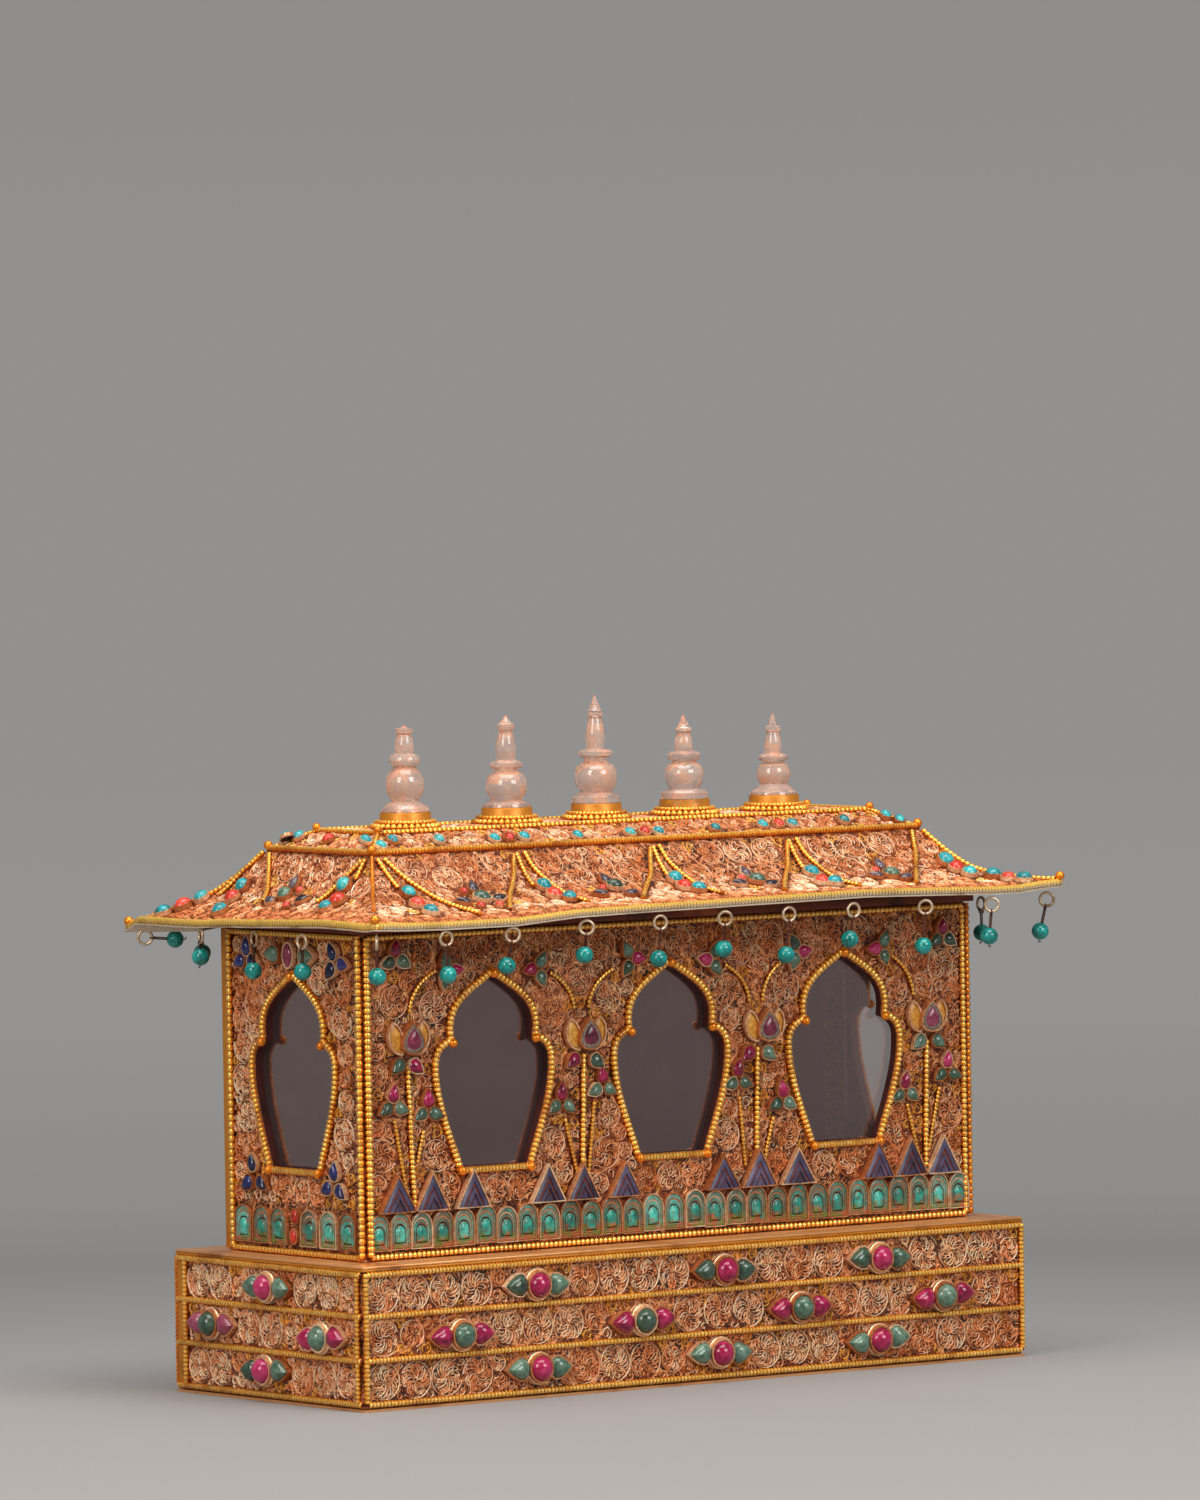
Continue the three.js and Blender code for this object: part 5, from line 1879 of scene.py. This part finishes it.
LONG_SLOPE = SlopeWork(
    ribs=(
        ((-85, 0.06), (-93, 0.24), (-106, 0.48), (-116, 0.72)), ((-3, 0.06), (-12, 0.27), (-25, 0.48), (-36, 0.7)),
        ((81, 0.06), (72, 0.26), (60, 0.48), (50, 0.7)), ((160, 0.03), (154, 0.21), (143, 0.45), (133, 0.66)),
    ),
    chains=(
        ((-161, 0.04), (-156, 0.18), (-149, 0.33), (-142, 0.58), (-137, 0.8)),
        ((-165, 0.04), (-164, 0.16), (-163, 0.28)),
        ((-78, 0.04), (-78, 0.17), (-74, 0.32), (-71, 0.52), (-68, 0.69)), ((-83, 0.05), (-85, 0.22), (-85, 0.33)),
        ((3, 0.04), (3, 0.17), (7, 0.32), (10, 0.52), (13, 0.69)), ((-1, 0.05), (-3, 0.22), (-3, 0.33)),
        ((87, 0.04), (87, 0.17), (91, 0.32), (94, 0.52), (97, 0.69)), ((82, 0.05), (80, 0.22), (80, 0.33)),
    ),
    triples=(
        ((-160, 0.34), (-162, 0.52), (-162, 0.70)), ((-80, 0.34), (-80, 0.49), (-75, 0.58)),
        ((-1, 0.34), (-1, 0.47), (4, 0.55)), ((82, 0.35), (80, 0.54), (85, 0.60)),
        ((168, 0.30), (170, 0.40), (173, 0.52)), ((183, 0.62), (186, 0.76), (190, 0.88)),
    ),
    flowers=(
        (-121, 0.31, -10), (-135, 0.51, 80), (-112, 0.49, -80), (-42, 0.31, 10), (-54, 0.52, 80), (-36, 0.56, -80),
        (43, 0.31, 0), (32, 0.47, 80), (50, 0.53, -80), (126, 0.30, 0), (117, 0.46, 80), (133, 0.53, -80),
    ),
    hearts=((-122, 0.47), (-40, 0.40), (45, 0.43), (127, 0.45)),
    corals=((-128, 0.36), (-129, 0.62), (-118, 0.62), (-48, 0.42), (38, 0.38), (121, 0.37)),
)
END_SLOPE = SlopeWork(
    ribs=(((39, 0.03), (29, 0.22), (22, 0.36), (18, 0.5)),),
    chains=(
        ((-41, 0.04), (-42, 0.20)), ((-39, 0.05), (-30, 0.25), (-25, 0.48)), ((44, 0.02), (54, 0.19), (59, 0.44)),
    ),
    triples=(
        ((-37, 0.26), (-42, 0.45), (-40, 0.60)), ((45, 0.31), (45, 0.47), (39, 0.76)),
        ((69, 0.5), (74, 0.69), (80, 0.88)),
    ),
    flowers=((4, 0.26, 0), (-13, 0.45, -70), (12, 0.5, 70)),
    hearts=((5, 0.39),),
    corals=((-7, 0.59), (-4, 0.33)),
)


@dataclass
class Roof:
    """The lift-off roof with its filigree, ribs, chains, ropes, knobs and stones.

    Stones of the raised band have their places as on a slope; those of an end add whether they are turquoise.
    """

    shop: Workshop
    form: RoofForm = field(default_factory=RoofForm)
    band_triples: tuple = (
        ((-89, -0.36), (-80, -0.37), (-71, -0.39)), ((-8, -0.33), (1, -0.34), (9, -0.31)),
        ((74, -0.39), (84, -0.40), (92, -0.37)),
    )
    band_singles: tuple = (
        (-162, -0.61), (-157, -0.3), (-147, -0.55), (-121, -0.44), (-40, -0.31), (44, -0.32), (125, -0.43),
        (153, -0.57), (158, -0.3),
    )
    end_band: tuple = ((4, -0.54, 0), (37, -0.40, 1), (30, -0.61, 1))
    around: int = 28

    def build(self) -> None:
        """Builds the shell, each slope's work, then the ropes and knobs."""
        self.jewels = Jewels("roof_stones")
        self.gold: Placed = []
        self.shell()
        for side in Side:
            self.dress_slope(side)
            self.dress_band(side)
        self.deck()
        self.ropes()
        build("roof_gilt", self.gold, GILT_WIRE, 80)
        self.jewels.build("roof_filigree")

    def ring(self, t: float, drop: float = 0.0, count: int = 0) -> Array:
        """Returns points round the roof at t, counter-clockwise from above, with a count on each side."""
        parts = []
        for side in (Side.FRONT, Side.RIGHT, Side.BACK, Side.LEFT):
            share = np.linspace(-1, 1, count or self.around, endpoint=False)
            at = np.full(len(share), float(t))
            z = self.form.height(at) + self.form.wave(side, share, at) - drop
            parts.append(side.place(share * self.form.half(side, at), self.form.half(side, at, True), z))
        return np.vstack(parts)

    def shell(self) -> None:
        """Builds the closed sheet under the filigree and the tinned sheet's edge under the eave."""
        levels = [1.0, 0.9, 0.8, 0.7, 0.6, 0.5, 0.42, 0.34, 0.26, 0.18, 0.09, 0.0, -0.5, -1.0]
        rings = [self.ring(1.0, 1.2) * (0.9, 0.86, 1), self.ring(1.0, 1.2)] + [self.ring(t) for t in levels]
        build("roof_shell", on(Level(), loft(rings, False)), ROOF_BACKING, 35, "roof")
        out, inwards = (1.008, 1.016, 1), (0.9, 0.7, 1)
        lip = ((2.9, out), (2.2, out), (1.9, inwards), (2.6, inwards))
        edges = [self.ring(1.0, drop, 60) * scale for drop, scale in lip]
        build("roof_sheet_edge", on(Level(), loft(edges, True)), PALE_SHEET, 40)

    @staticmethod
    def along(side: Side, a: float) -> float:
        """Turns a place along X or Y to the side's own direction."""
        return a if side in (Side.FRONT, Side.RIGHT) else -a

    def lay(self, side: Side, path: Sequence[Point], rope: Rope, clear: Clearing) -> None:
        """Lays a rope given by along and t on a slope."""
        line = resample([(self.along(side, a), self.form.slant(side, t)) for a, t in path], 2.0)
        for _ in range(3):
            line[1:-1] = (line[:-2] + 2 * line[1:-1] + line[2:]) / 4
        self.gold += on(RoofFace(side, self.form), rope.run(lifted(line, rope.radius * 0.8)))
        clear.block_line(line, rope.radius)

    def gems(
        self,
        side: Side,
        kind: str,
        finishes: Sequence[Finish],
        places: Sequence,
        clear: Clearing,
        rng: Random,
        vary: bool = False,
    ) -> None:
        """Sets stones on a slope or band.

        Args:
            side: which side.
            kind: which setting.
            finishes: their finishes, in turn.
            places: where along, t, and the turn in degrees where it isn't 0.
            clear: the room, which they take from.
            rng: for their tones.
            vary: whether their turns and sizes differ.
        """
        for k, (a, t, *turn) in enumerate(places):
            angle = rng.uniform(-30, 30) if vary else sum(turn)
            scale = rng.uniform(0.92, 1.06) if vary else 1.0
            u, v, finish = self.along(side, a), self.form.slant(side, t), finishes[k % len(finishes)]
            place = {"u": u, "v": v, "turn": math.radians(angle), "scale": scale}
            self.shop.set_stone(self.jewels, RoofFace(side, self.form), kind, finish, rng, clear, **place)

    def room(self, side: Side, foot: float, top: float, low: float, high: float, margin: float) -> Clearing:
        """Returns the free room of a slope or band from t = foot to t = top.

        Args:
            side: which side.
            foot: t at its lower end.
            top: t at its upper end.
            low: what stays free at the lower end.
            high: the same at the upper end.
            margin: the same at the hips.

        Returns:
            The room.
        """
        v0, v1 = self.form.slant(side, foot), self.form.slant(side, top)
        a0, a1 = (float(self.form.half(side, t)) for t in (foot, top))
        clear = Clearing(-a0, a0, v0 + low, v1 - high)
        clear.block_outline(np.array([(-a0, v0), (a0, v0), (a1, v1), (-a1, v1)]), margin, True)
        return clear

    def dress_slope(self, side: Side) -> None:
        """Covers one flared slope, its wires darkened near the eave as painted shade."""
        rng = np.random.default_rng(80 + side.number)
        clear = self.room(side, 1.0, 0.0, 1.2, 1.2, 1.6)
        work = LONG_SLOPE if side.long else END_SLOPE
        for rope, paths in ((RIB, work.ribs), (CHAIN, work.chains)):
            for path in paths:
                self.lay(side, path, rope, clear)
        for group in work.triples:
            self.gems(side, "roof_oval", (TURQUOISE, CORAL), group, clear, rng, True)
        self.gems(side, "roof_drop", (DARK_STONE,), work.flowers, clear, rng)
        self.gems(side, "roof_oval", (GREEN,), [(a, t, 60) for a, t in work.hearts], clear, rng)
        self.gems(side, "roof_coral", (CORAL,), work.corals, clear, rng)
        self.low_wires(side, np.linspace(1.0, 0.0, 14), "slope")
        shapes = self.shop.kit(side).fill(clear, 90 + side.number, 8.5, 0.75)
        # Painted shade: wires lose tone towards the eave.
        eave = self.form.slant(side, 1.0)
        for shape in shapes:
            shape.tone = shape.tone * (1 - 0.6 * np.clip((eave + 22 - shape.points[:, 1]) / 16, 0, 1))
        wheels = on(RoofFace(side, self.form), *shapes)
        build(f"roof_filigree_{side.label}", wheels, ROOF_FILIGREE, 60)

    def low_wires(self, side: Side, steps: Array, name: str) -> None:
        """Lays the low wires' sheet over a slope, darkened near the eave as painted shade, or a band."""
        rows = [(-h, h, self.form.slant(side, t)) for t in steps for h in (float(self.form.half(side, t)) - 0.3,)]
        wires = skin(rows, 41, 0.1, 0.3)
        # Painted shade: the slope's low wires lose tone towards the eave.
        near = np.clip((rows[0][2] + 20 - wires.points[:, 1]) / 16, 0, 1)
        wires.tone = 0.5 - 0.35 * near * (name == "slope")
        laid = on(RoofFace(side, self.form), wires)
        build(f"roof_{name}_low_wires_{side.label}", laid, ROOF_LOW_WIRES, 30)

    def dress_band(self, side: Side) -> None:
        """Covers the raised band over one slope."""
        rng = np.random.default_rng(100 + side.number)
        clear = self.room(side, 0.0, -1.0, 1.2, 0.8, 1.0)
        if side.long:
            for group in self.band_triples:
                self.gems(side, "band_oval", (TURQUOISE, CORAL), group, clear, rng)
            self.gems(side, "band_oval", (TURQUOISE,), self.band_singles, clear, rng)
        else:
            for a, t, blue in self.end_band:
                self.gems(side, "band_oval", (TURQUOISE if blue else CORAL,), [(a, t)], clear, rng)
        self.low_wires(side, np.array([0.0, -1.0]), "band")
        wheels = on(RoofFace(side, self.form), *self.shop.kit(side).fill(clear, 110 + side.number, 6.5, 0.8))
        build(f"roof_band_{side.label}", wheels, ROOF_FILIGREE, 60)

    def deck(self) -> None:
        """Covers the flat top between the crystals."""
        a, b = self.form.top
        clear = Clearing(-a + 1.5, a - 1.5, -b + 1.5, b - 1.5)
        for x in STUPA_PLACES:
            clear.block_circle(x, 0.0, 16.6)
        face = Level(self.form.top_z)
        wires = skin([(-a, a, -b), (-a, a, b)])
        build("roof_top_low_wires", on(face, wires), ROOF_LOW_WIRES, 30)
        wheels = on(face, *self.shop.plain.fill(clear, 120))
        build("roof_top_filigree", wheels, ROOF_FILIGREE, 60)

    def ropes(self) -> None:
        """Runs the ropes along eave, rim, top and hips, and puts the knobs on their corners."""
        level = Level()
        coil = EAVE_ROPE.run(self.ring(1.0, 0.6, 60), closed=True)
        gilt_end = coil.points[:, 0] < -204
        coil.tone = np.where(gilt_end, np.maximum(coil.tone, 0.8), coil.tone)
        build("roof_eave_coil", on(level, coil), EAVE_COIL, 80)
        for rope, t, drop in ((RIM_ROPE, 0.0, -0.9), (WALL_BORDER, -1.0, -0.5)):
            self.gold += on(level, rope.run(self.ring(t, drop), closed=True))
        for t, size in ((1.0, 1.15), (0.0, 1.1), (-1.0, 1.0)):
            for x, y, z in self.ring(t)[:: self.around]:
                self.gold += on(level, knob().moved(x, y, z + 0.6, 0, size))
        steps = np.linspace(0.03, 0.97, 26)
        hips = np.array([self.ring(t)[:: self.around] for t in steps]) + (0, 0, 0.8)
        bands = np.array([self.ring(t)[:: self.around] for t in np.linspace(-0.05, -0.97, 8)]) + (0, 0, 0.4)
        for k in range(4):
            line = hips[:, k]
            if k == 0:
                self.gold += on(level, sweep(line[steps < 0.62], round_section(6)))
                line = line[steps > 0.8]
            self.gold += on(level, HIP_CHAIN.run(line), CHAIN.run(bands[:, k]))


# crystals

# The crystals' places along X.
STUPA_PLACES = (-114.82, -54.12, 0.0, 54.12, 109.43)


@dataclass
class Crystals:
    """The five quartz stupas on their gilt collars. A profile gives radius and share of the rise from the foot."""

    foot: float = 279.5
    tips: tuple[float, ...] = (321.1, 323.9, 331.9, 320.6, 319.4)
    profiles: tuple = (
        (
            (11.9, 0), (11.3, 0.05), (9.0, 0.09), (6.5, 0.125), (7.0, 0.145), (8.8, 0.21), (9.4, 0.3), (9.2, 0.38),
            (7.6, 0.46), (6.0, 0.505), (5.4, 0.52), (7.0, 0.535), (7.8, 0.57), (7.8, 0.61), (6.8, 0.655),
            (4.6, 0.675), (4.7, 0.7), (4.65, 0.78), (4.2, 0.84), (3.5, 0.885), (3.4, 0.892), (4.4, 0.91),
            (4.4, 0.955), (2.0, 0.97), (0.15, 1.0),
        ),
        (
            (11.9, 0), (11.6, 0.03), (7.6, 0.075), (7.8, 0.085), (9.8, 0.15), (10.3, 0.23), (9.8, 0.31),
            (7.4, 0.37), (5.5, 0.39), (5.5, 0.405), (7.4, 0.42), (8.1, 0.44), (8.1, 0.48), (6.5, 0.5),
            (4.4, 0.512), (4.95, 0.6), (4.9, 0.68), (4.1, 0.76), (3.1, 0.815), (2.9, 0.825), (4.0, 0.84),
            (4.4, 0.87), (4.2, 0.905), (2.6, 0.925), (1.5, 0.96), (0.15, 1.0),
        ),
        (
            (11.9, 0), (11.9, 0.055), (9.8, 0.09), (7.6, 0.1), (9.4, 0.145), (10.4, 0.19), (10.6, 0.245),
            (10.3, 0.3), (9.0, 0.345), (6.6, 0.37), (5.5, 0.385), (5.5, 0.41), (7.6, 0.425), (8.6, 0.44),
            (8.6, 0.475), (7.6, 0.49), (4.5, 0.5), (4.5, 0.52), (4.95, 0.6), (4.6, 0.68), (3.9, 0.74),
            (3.2, 0.785), (2.8, 0.79), (4.1, 0.81), (4.1, 0.828), (3.1, 0.84), (3.7, 0.855), (2.8, 0.87),
            (1.9, 0.92), (0.9, 0.97), (0.15, 1.0),
        ),
        (
            (11.6, 0), (11.6, 0.07), (10.6, 0.1), (7.4, 0.115), (7.6, 0.13), (9.0, 0.19), (9.7, 0.28), (9.3, 0.35),
            (7.6, 0.41), (5.9, 0.43), (5.9, 0.445), (7.4, 0.46), (8.1, 0.49), (8.1, 0.53), (6.5, 0.56),
            (4.4, 0.57), (4.7, 0.66), (4.2, 0.72), (3.2, 0.77), (3.0, 0.78), (4.3, 0.8), (4.2, 0.83),
            (3.0, 0.85), (2.2, 0.89), (1.2, 0.95), (0.15, 1.0),
        ),
        (
            (11.8, 0), (11.6, 0.03), (8.4, 0.095), (7.6, 0.115), (6.6, 0.13), (7.6, 0.155), (8.6, 0.24), (8.3, 0.3),
            (7.0, 0.365), (5.4, 0.38), (5.4, 0.4), (6.8, 0.41), (7.5, 0.44), (7.5, 0.47), (6.0, 0.49),
            (4.2, 0.515), (4.5, 0.6), (4.1, 0.68), (3.2, 0.75), (3.0, 0.765), (4.2, 0.79), (4.1, 0.83),
            (2.6, 0.85), (1.8, 0.9), (0.9, 0.96), (0.15, 1.0),
        ),
    )
    collar: tuple = ((12.5, 270.9), (12.9, 271.6), (12.45, 272.4), (12.45, 278.4), (12.0, 279.3))
    rings: tuple = ((COLLAR_BEADS, 14.0, 274.6), (FOOT_BEADS, 15.8, 272.4))

    def build(self) -> None:
        """Builds the crystals, the collars and their bead rings."""
        level = Level()
        collar = turned(self.collar, 40)
        for k, (x, tip, profile) in enumerate(zip(STUPA_PLACES, self.tips, self.profiles), 1):
            crystal = self.crystal(profile, tip - self.foot).moved(x)
            build(f"crystal_{k}", on(level, crystal), QUARTZ, 38, f"crystal_stupa_{k}")
            build(f"collar_{k}", on(level, collar.moved(x)), GOLD_STRIP, 40, f"stupa_collar_{k}")
            beads = [rope.run(circle(radius, 64, x, 0, z), closed=True) for rope, radius, z in self.rings]
            build(f"collar_beads_{k}", on(level, *beads), GILT_WIRE, 80)

    def crystal(self, profile: Sequence[Point], rise: float) -> Shape:
        """Turns one crystal, its wear low in the grooves, where polish stays, and near its foot."""
        shape = turned([(r, self.foot + rise * share) for r, share in profile], 28)
        radii, heights = np.array(profile).T
        bulk = np.maximum.reduce([np.interp(heights + d, heights, radii) for d in (-0.05, 0.0, 0.05)])
        share = (shape.points[:, 2] - self.foot) / rise
        shape.wear_and_shade = np.interp(share, heights, radii / bulk) * np.where(share < 0.06, 0.5, 1.0)
        return shape


# pendants


@dataclass
class Pendants:
    """Rings under the eave, each with a twisted wire and a turquoise bead.

    In front and on the ends, each is given by the place of its hook, and place and height of its bead.
    At the corners it is given by place, turn, swing and length.
    """

    drop: float = 16.0
    ring_radius: float = 3.4
    front: tuple = (
        (-165.3, -164.6, 206.8), (-126.2, -129.4, 209.3), (-82.5, -83.8, 212.3), (-38.5, -39.7, 208.5),
        (0.6, -0.4, 211.4), (39.5, 37.5, 206.8), (79.0, 76.5, 212.6), (123.5, 122.2, 207.3), (165.0, 163.5, 210.2),
    )
    ends: tuple = ((-41.4, -41.6, 208.0), (-2.0, -0.3, 206.9), (42.7, 43.8, 212.0))
    corners: tuple = (
        (-203.6, -98.6, 223.6, 0.93, 0.05, 16.0), (202.6, -97.8, 226.4, -0.64, 0.22, 16.0),
        (202.6, 97.8, 223.4, -0.7, 0.1, 15.0), (-202.2, 96.0, 219.4, -0.64, -1.5, 14.6),
    )
    end_hook: float = 222.2

    def build(self) -> None:
        """Models ring, wire and bead once, then hangs copies."""
        nodes = ",".join(name for name in NODES if name.startswith("pendant_"))
        places = list(self.places(np.random.default_rng(7)))
        kinds = (
            ("rings", self.ring(), RING_METAL, nodes), ("wires", self.wires(), DARK_WIRE, ""),
            ("beads", self.bead(), BEAD_TURQUOISE, ""),
        )
        for kind, pattern, finish, node in kinds:
            hung = []
            for x, y, z, turn, swing, length in places:
                swing, length = (0.0, self.drop) if kind == "rings" else (swing, length)
                hung += on(Level(), self.hung(pattern, (x, y, z), turn, swing, length))
            build(f"pendant_{kind}", hung, finish, 60, node)

    def places(self, rng: Random) -> Iterable[tuple[float, ...]]:
        """Yields x, y, z of the ring, its turn, and the swing and distance of the bead for each pendant."""
        for x, bead, z in self.front:
            hook = 225.2 + 0.62 * float(RoofForm().wave(Side.FRONT, x / 207, 1.0))
            high, aside = hook - z, bead - x
            yield x, -101.5, hook, rng.uniform(-0.5, 0.2), -math.atan2(aside, high), math.hypot(aside, high)
            yield -x, 101.5, hook, rng.uniform(-0.5, 0.2), rng.uniform(-0.12, 0.12), math.hypot(aside, high)
        for y, bead, z in self.ends:
            high, aside = self.end_hook - z, bead - y
            for x in (-206.25, 206.25):
                turn = math.pi / 2 + rng.uniform(-0.5, 0.1)
                yield x, y, self.end_hook, turn, -math.atan2(aside, high), math.hypot(aside, high)
        yield from self.corners

    def hung(self, pattern: Shape, place: Sequence[float], turn: float, swing: float, length: float) -> Shape:
        """Shortens a pattern's wire, swings it about its ring, turns it and hangs it."""
        spin = Matrix.Rotation(turn, 4, "Z") @ Matrix.Rotation(swing, 4, "Y")
        matrix = np.array(Matrix.Translation(place) @ spin)
        share = np.clip((-pattern.points[:, 2] - 4) / (self.drop - 8.5), 0, 1)
        points = pattern.points + np.outer(share, (0, 0, self.drop - length))
        return replace(pattern, points=points @ matrix[:3, :3].T + matrix[:3, 3])

    def ring(self) -> Shape:
        """Models the ring, a little flattened by hand, and stands it up."""
        sizes = {"major_radius": self.ring_radius, "minor_radius": 0.75, "major_segments": 24, "minor_segments": 8}
        torus = start(bpy.ops.mesh.primitive_torus_add, **sizes)
        with editing():
            bpy.ops.transform.resize(value=(1.0, 0.97, 1.0))
        ring = take(torus).even()
        ring.points = ring.points[:, [0, 2, 1]] * (1, -1, 1)
        return ring

    def wires(self) -> Shape:
        """Winds the two twisted wires, the shank through the bead with its pigtail, and the eye in the ring."""
        drop, hang = self.drop, -self.ring_radius
        t = np.linspace(0, 1, 40)
        bend = t * 9 * math.pi
        twist = np.column_stack([0.55 * np.cos(bend), 0.55 * np.sin(bend), hang - 0.6 - t * (drop + hang - 4.0)])
        tail = np.array([(0, 0, 4.4), (0, 0, -4.0), (0.2, 0.3, -4.9), (0.9, 0.6, -5.4), (1.2, 0.2, -4.7)])
        paths = twist, twist * (-1, -1, 1), tail - (0, 0, drop)
        angle = np.linspace(0.2, TAU - 0.4, 14)
        eye = np.column_stack([0 * angle, 1.3 * np.sin(angle), hang - 0.2 + 1.3 * np.cos(angle)])
        wires = [sweep(path, round_section(5), 0.3, up=(0.3, 1, 0.1)) for path in paths]
        return Shape.joined([*wires, sweep(eye, round_section(5), 0.36, up=(1, 0, 0))])

    def bead(self) -> Shape:
        """Models the drilled bead."""
        angles = np.linspace(-1.28, 1.28, 11)
        profile = [(0.8, -3.55), *((4.3 * math.cos(a), 4.2 * math.sin(a)) for a in angles), (0.8, 3.55), (0.7, 3.1)]
        return turned(profile, 20).moved(w=-self.drop).even()


# studio


@dataclass
class Studio:
    """Floor, lamps, background and the camera, whose axes and eye were fitted to the photograph."""

    right: tuple[float, float, float] = (0.80160, -0.59786, 0.0)
    up: tuple[float, float, float] = (0.02277, 0.03053, 0.99927)
    back: tuple[float, float, float] = (-0.59742, -0.80101, 0.03809)
    roll: float = math.radians(-0.915)
    eye: tuple[float, float, float] = (-3317.51, -4451.86, 516.66)
    lens: float = 273.30
    lamps: tuple = (
        ("top_box", (-0.3, -0.5, 2.2), (2.0, 1.4), 54.0, "fffaf4"),
        ("left_box", (-2.8, -0.9, 1.5), (1.0, 1.6), 48.0, "fff6ec"),
        ("front_box", (0.4, -3.0, 1.7), (1.6, 1.4), 60.0, "ffffff"),
    )

    def build(self) -> None:
        """Sets up the studio."""
        bpy.context.scene.view_settings.view_transform = "Standard"
        self.floor()
        self.world()
        for lamp in self.lamps:
            self.lamp(*lamp)
        self.camera()

    def camera(self) -> None:
        """Places the camera where the photograph was taken from."""
        data = bpy.data.cameras.new("camera")
        data.lens, data.sensor_width = self.lens, 36.0
        data.clip_start, data.clip_end = 0.1, 100.0
        camera = bpy.data.objects.new("camera", data)
        bpy.context.collection.objects.link(camera)
        right, up, back = (Vector(v) for v in (self.right, self.up, self.back))
        c, s = math.cos(self.roll), math.sin(self.roll)
        axes = Matrix((right * c + up * s, up * c - right * s, back)).transposed().to_4x4()
        camera.matrix_world = Matrix.Translation(Vector(self.eye) * MM) @ axes
        bpy.context.scene.camera = camera

    def floor(self) -> None:
        """Lays a wide round floor."""
        disc = start(bpy.ops.mesh.primitive_circle_add, vertices=96, radius=30.0, fill_type="NGON")
        with editing():
            bpy.ops.mesh.inset(thickness=27.0)
        disc.name = "paper_floor"
        disc.data.materials.append(PAPER.material())

    def world(self) -> None:
        """Lights the room evenly; the camera sees a painted backdrop tone, paler at the sides than behind the box."""
        world = bpy.data.worlds.new("studio")
        bpy.context.scene.world = world
        world.use_nodes = True
        world.node_tree.nodes.clear()
        graph = Graph(world.node_tree)
        lit = graph.add_node("Background", {"Color": linear("ffffff"), "Strength": 0.25})[0]
        # Painted shade: what the camera sees of the room darkens higher up, apart from the even light it gives.
        seen = graph.add_node("TexCoord")["Generated"]
        height = graph.add_node("SeparateXYZ", {"Vector": seen})["Z"]
        tone = graph.ramp(height, (0.0, "939190"), (0.04, "8c8b89"), (0.1, "807f7e"))
        painted_backdrop = graph.add_node("Background", {"Color": tone})[0]
        camera = graph.add_node("LightPath")["Is Camera Ray"]
        both = graph.add_node("MixShader", {0: camera, 1: lit, 2: painted_backdrop})[0]
        graph.add_node("OutputWorld", {"Surface": both})

    def lamp(self, name: str, place: tuple, size: Point, power: float, colour: str) -> None:
        """Hangs one soft box, turned to the box."""
        data = bpy.data.lights.new(name, "AREA")
        data.shape, (data.size, data.size_y) = "RECTANGLE", size
        data.energy, data.color = power, linear(colour)[:3]
        lamp = bpy.data.objects.new(name, data)
        bpy.context.collection.objects.link(lamp)
        lamp.location = place
        lamp.rotation_euler = (Vector((0, 0, 0.15)) - Vector(place)).to_track_quat("-Z", "Y").to_euler()
        lamp.visible_camera = False


def main() -> None:
    """Builds the altar box and its studio."""
    logging.basicConfig(level=logging.INFO, format="%(message)s", stream=sys.stdout)
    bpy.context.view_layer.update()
    Studio().build()
    shop = Workshop()
    Plinth(shop).build()
    Cabinet(shop).build()
    Roof(shop).build()
    Crystals().build()
    Pendants().build()


if __name__ == "__main__":
    main()
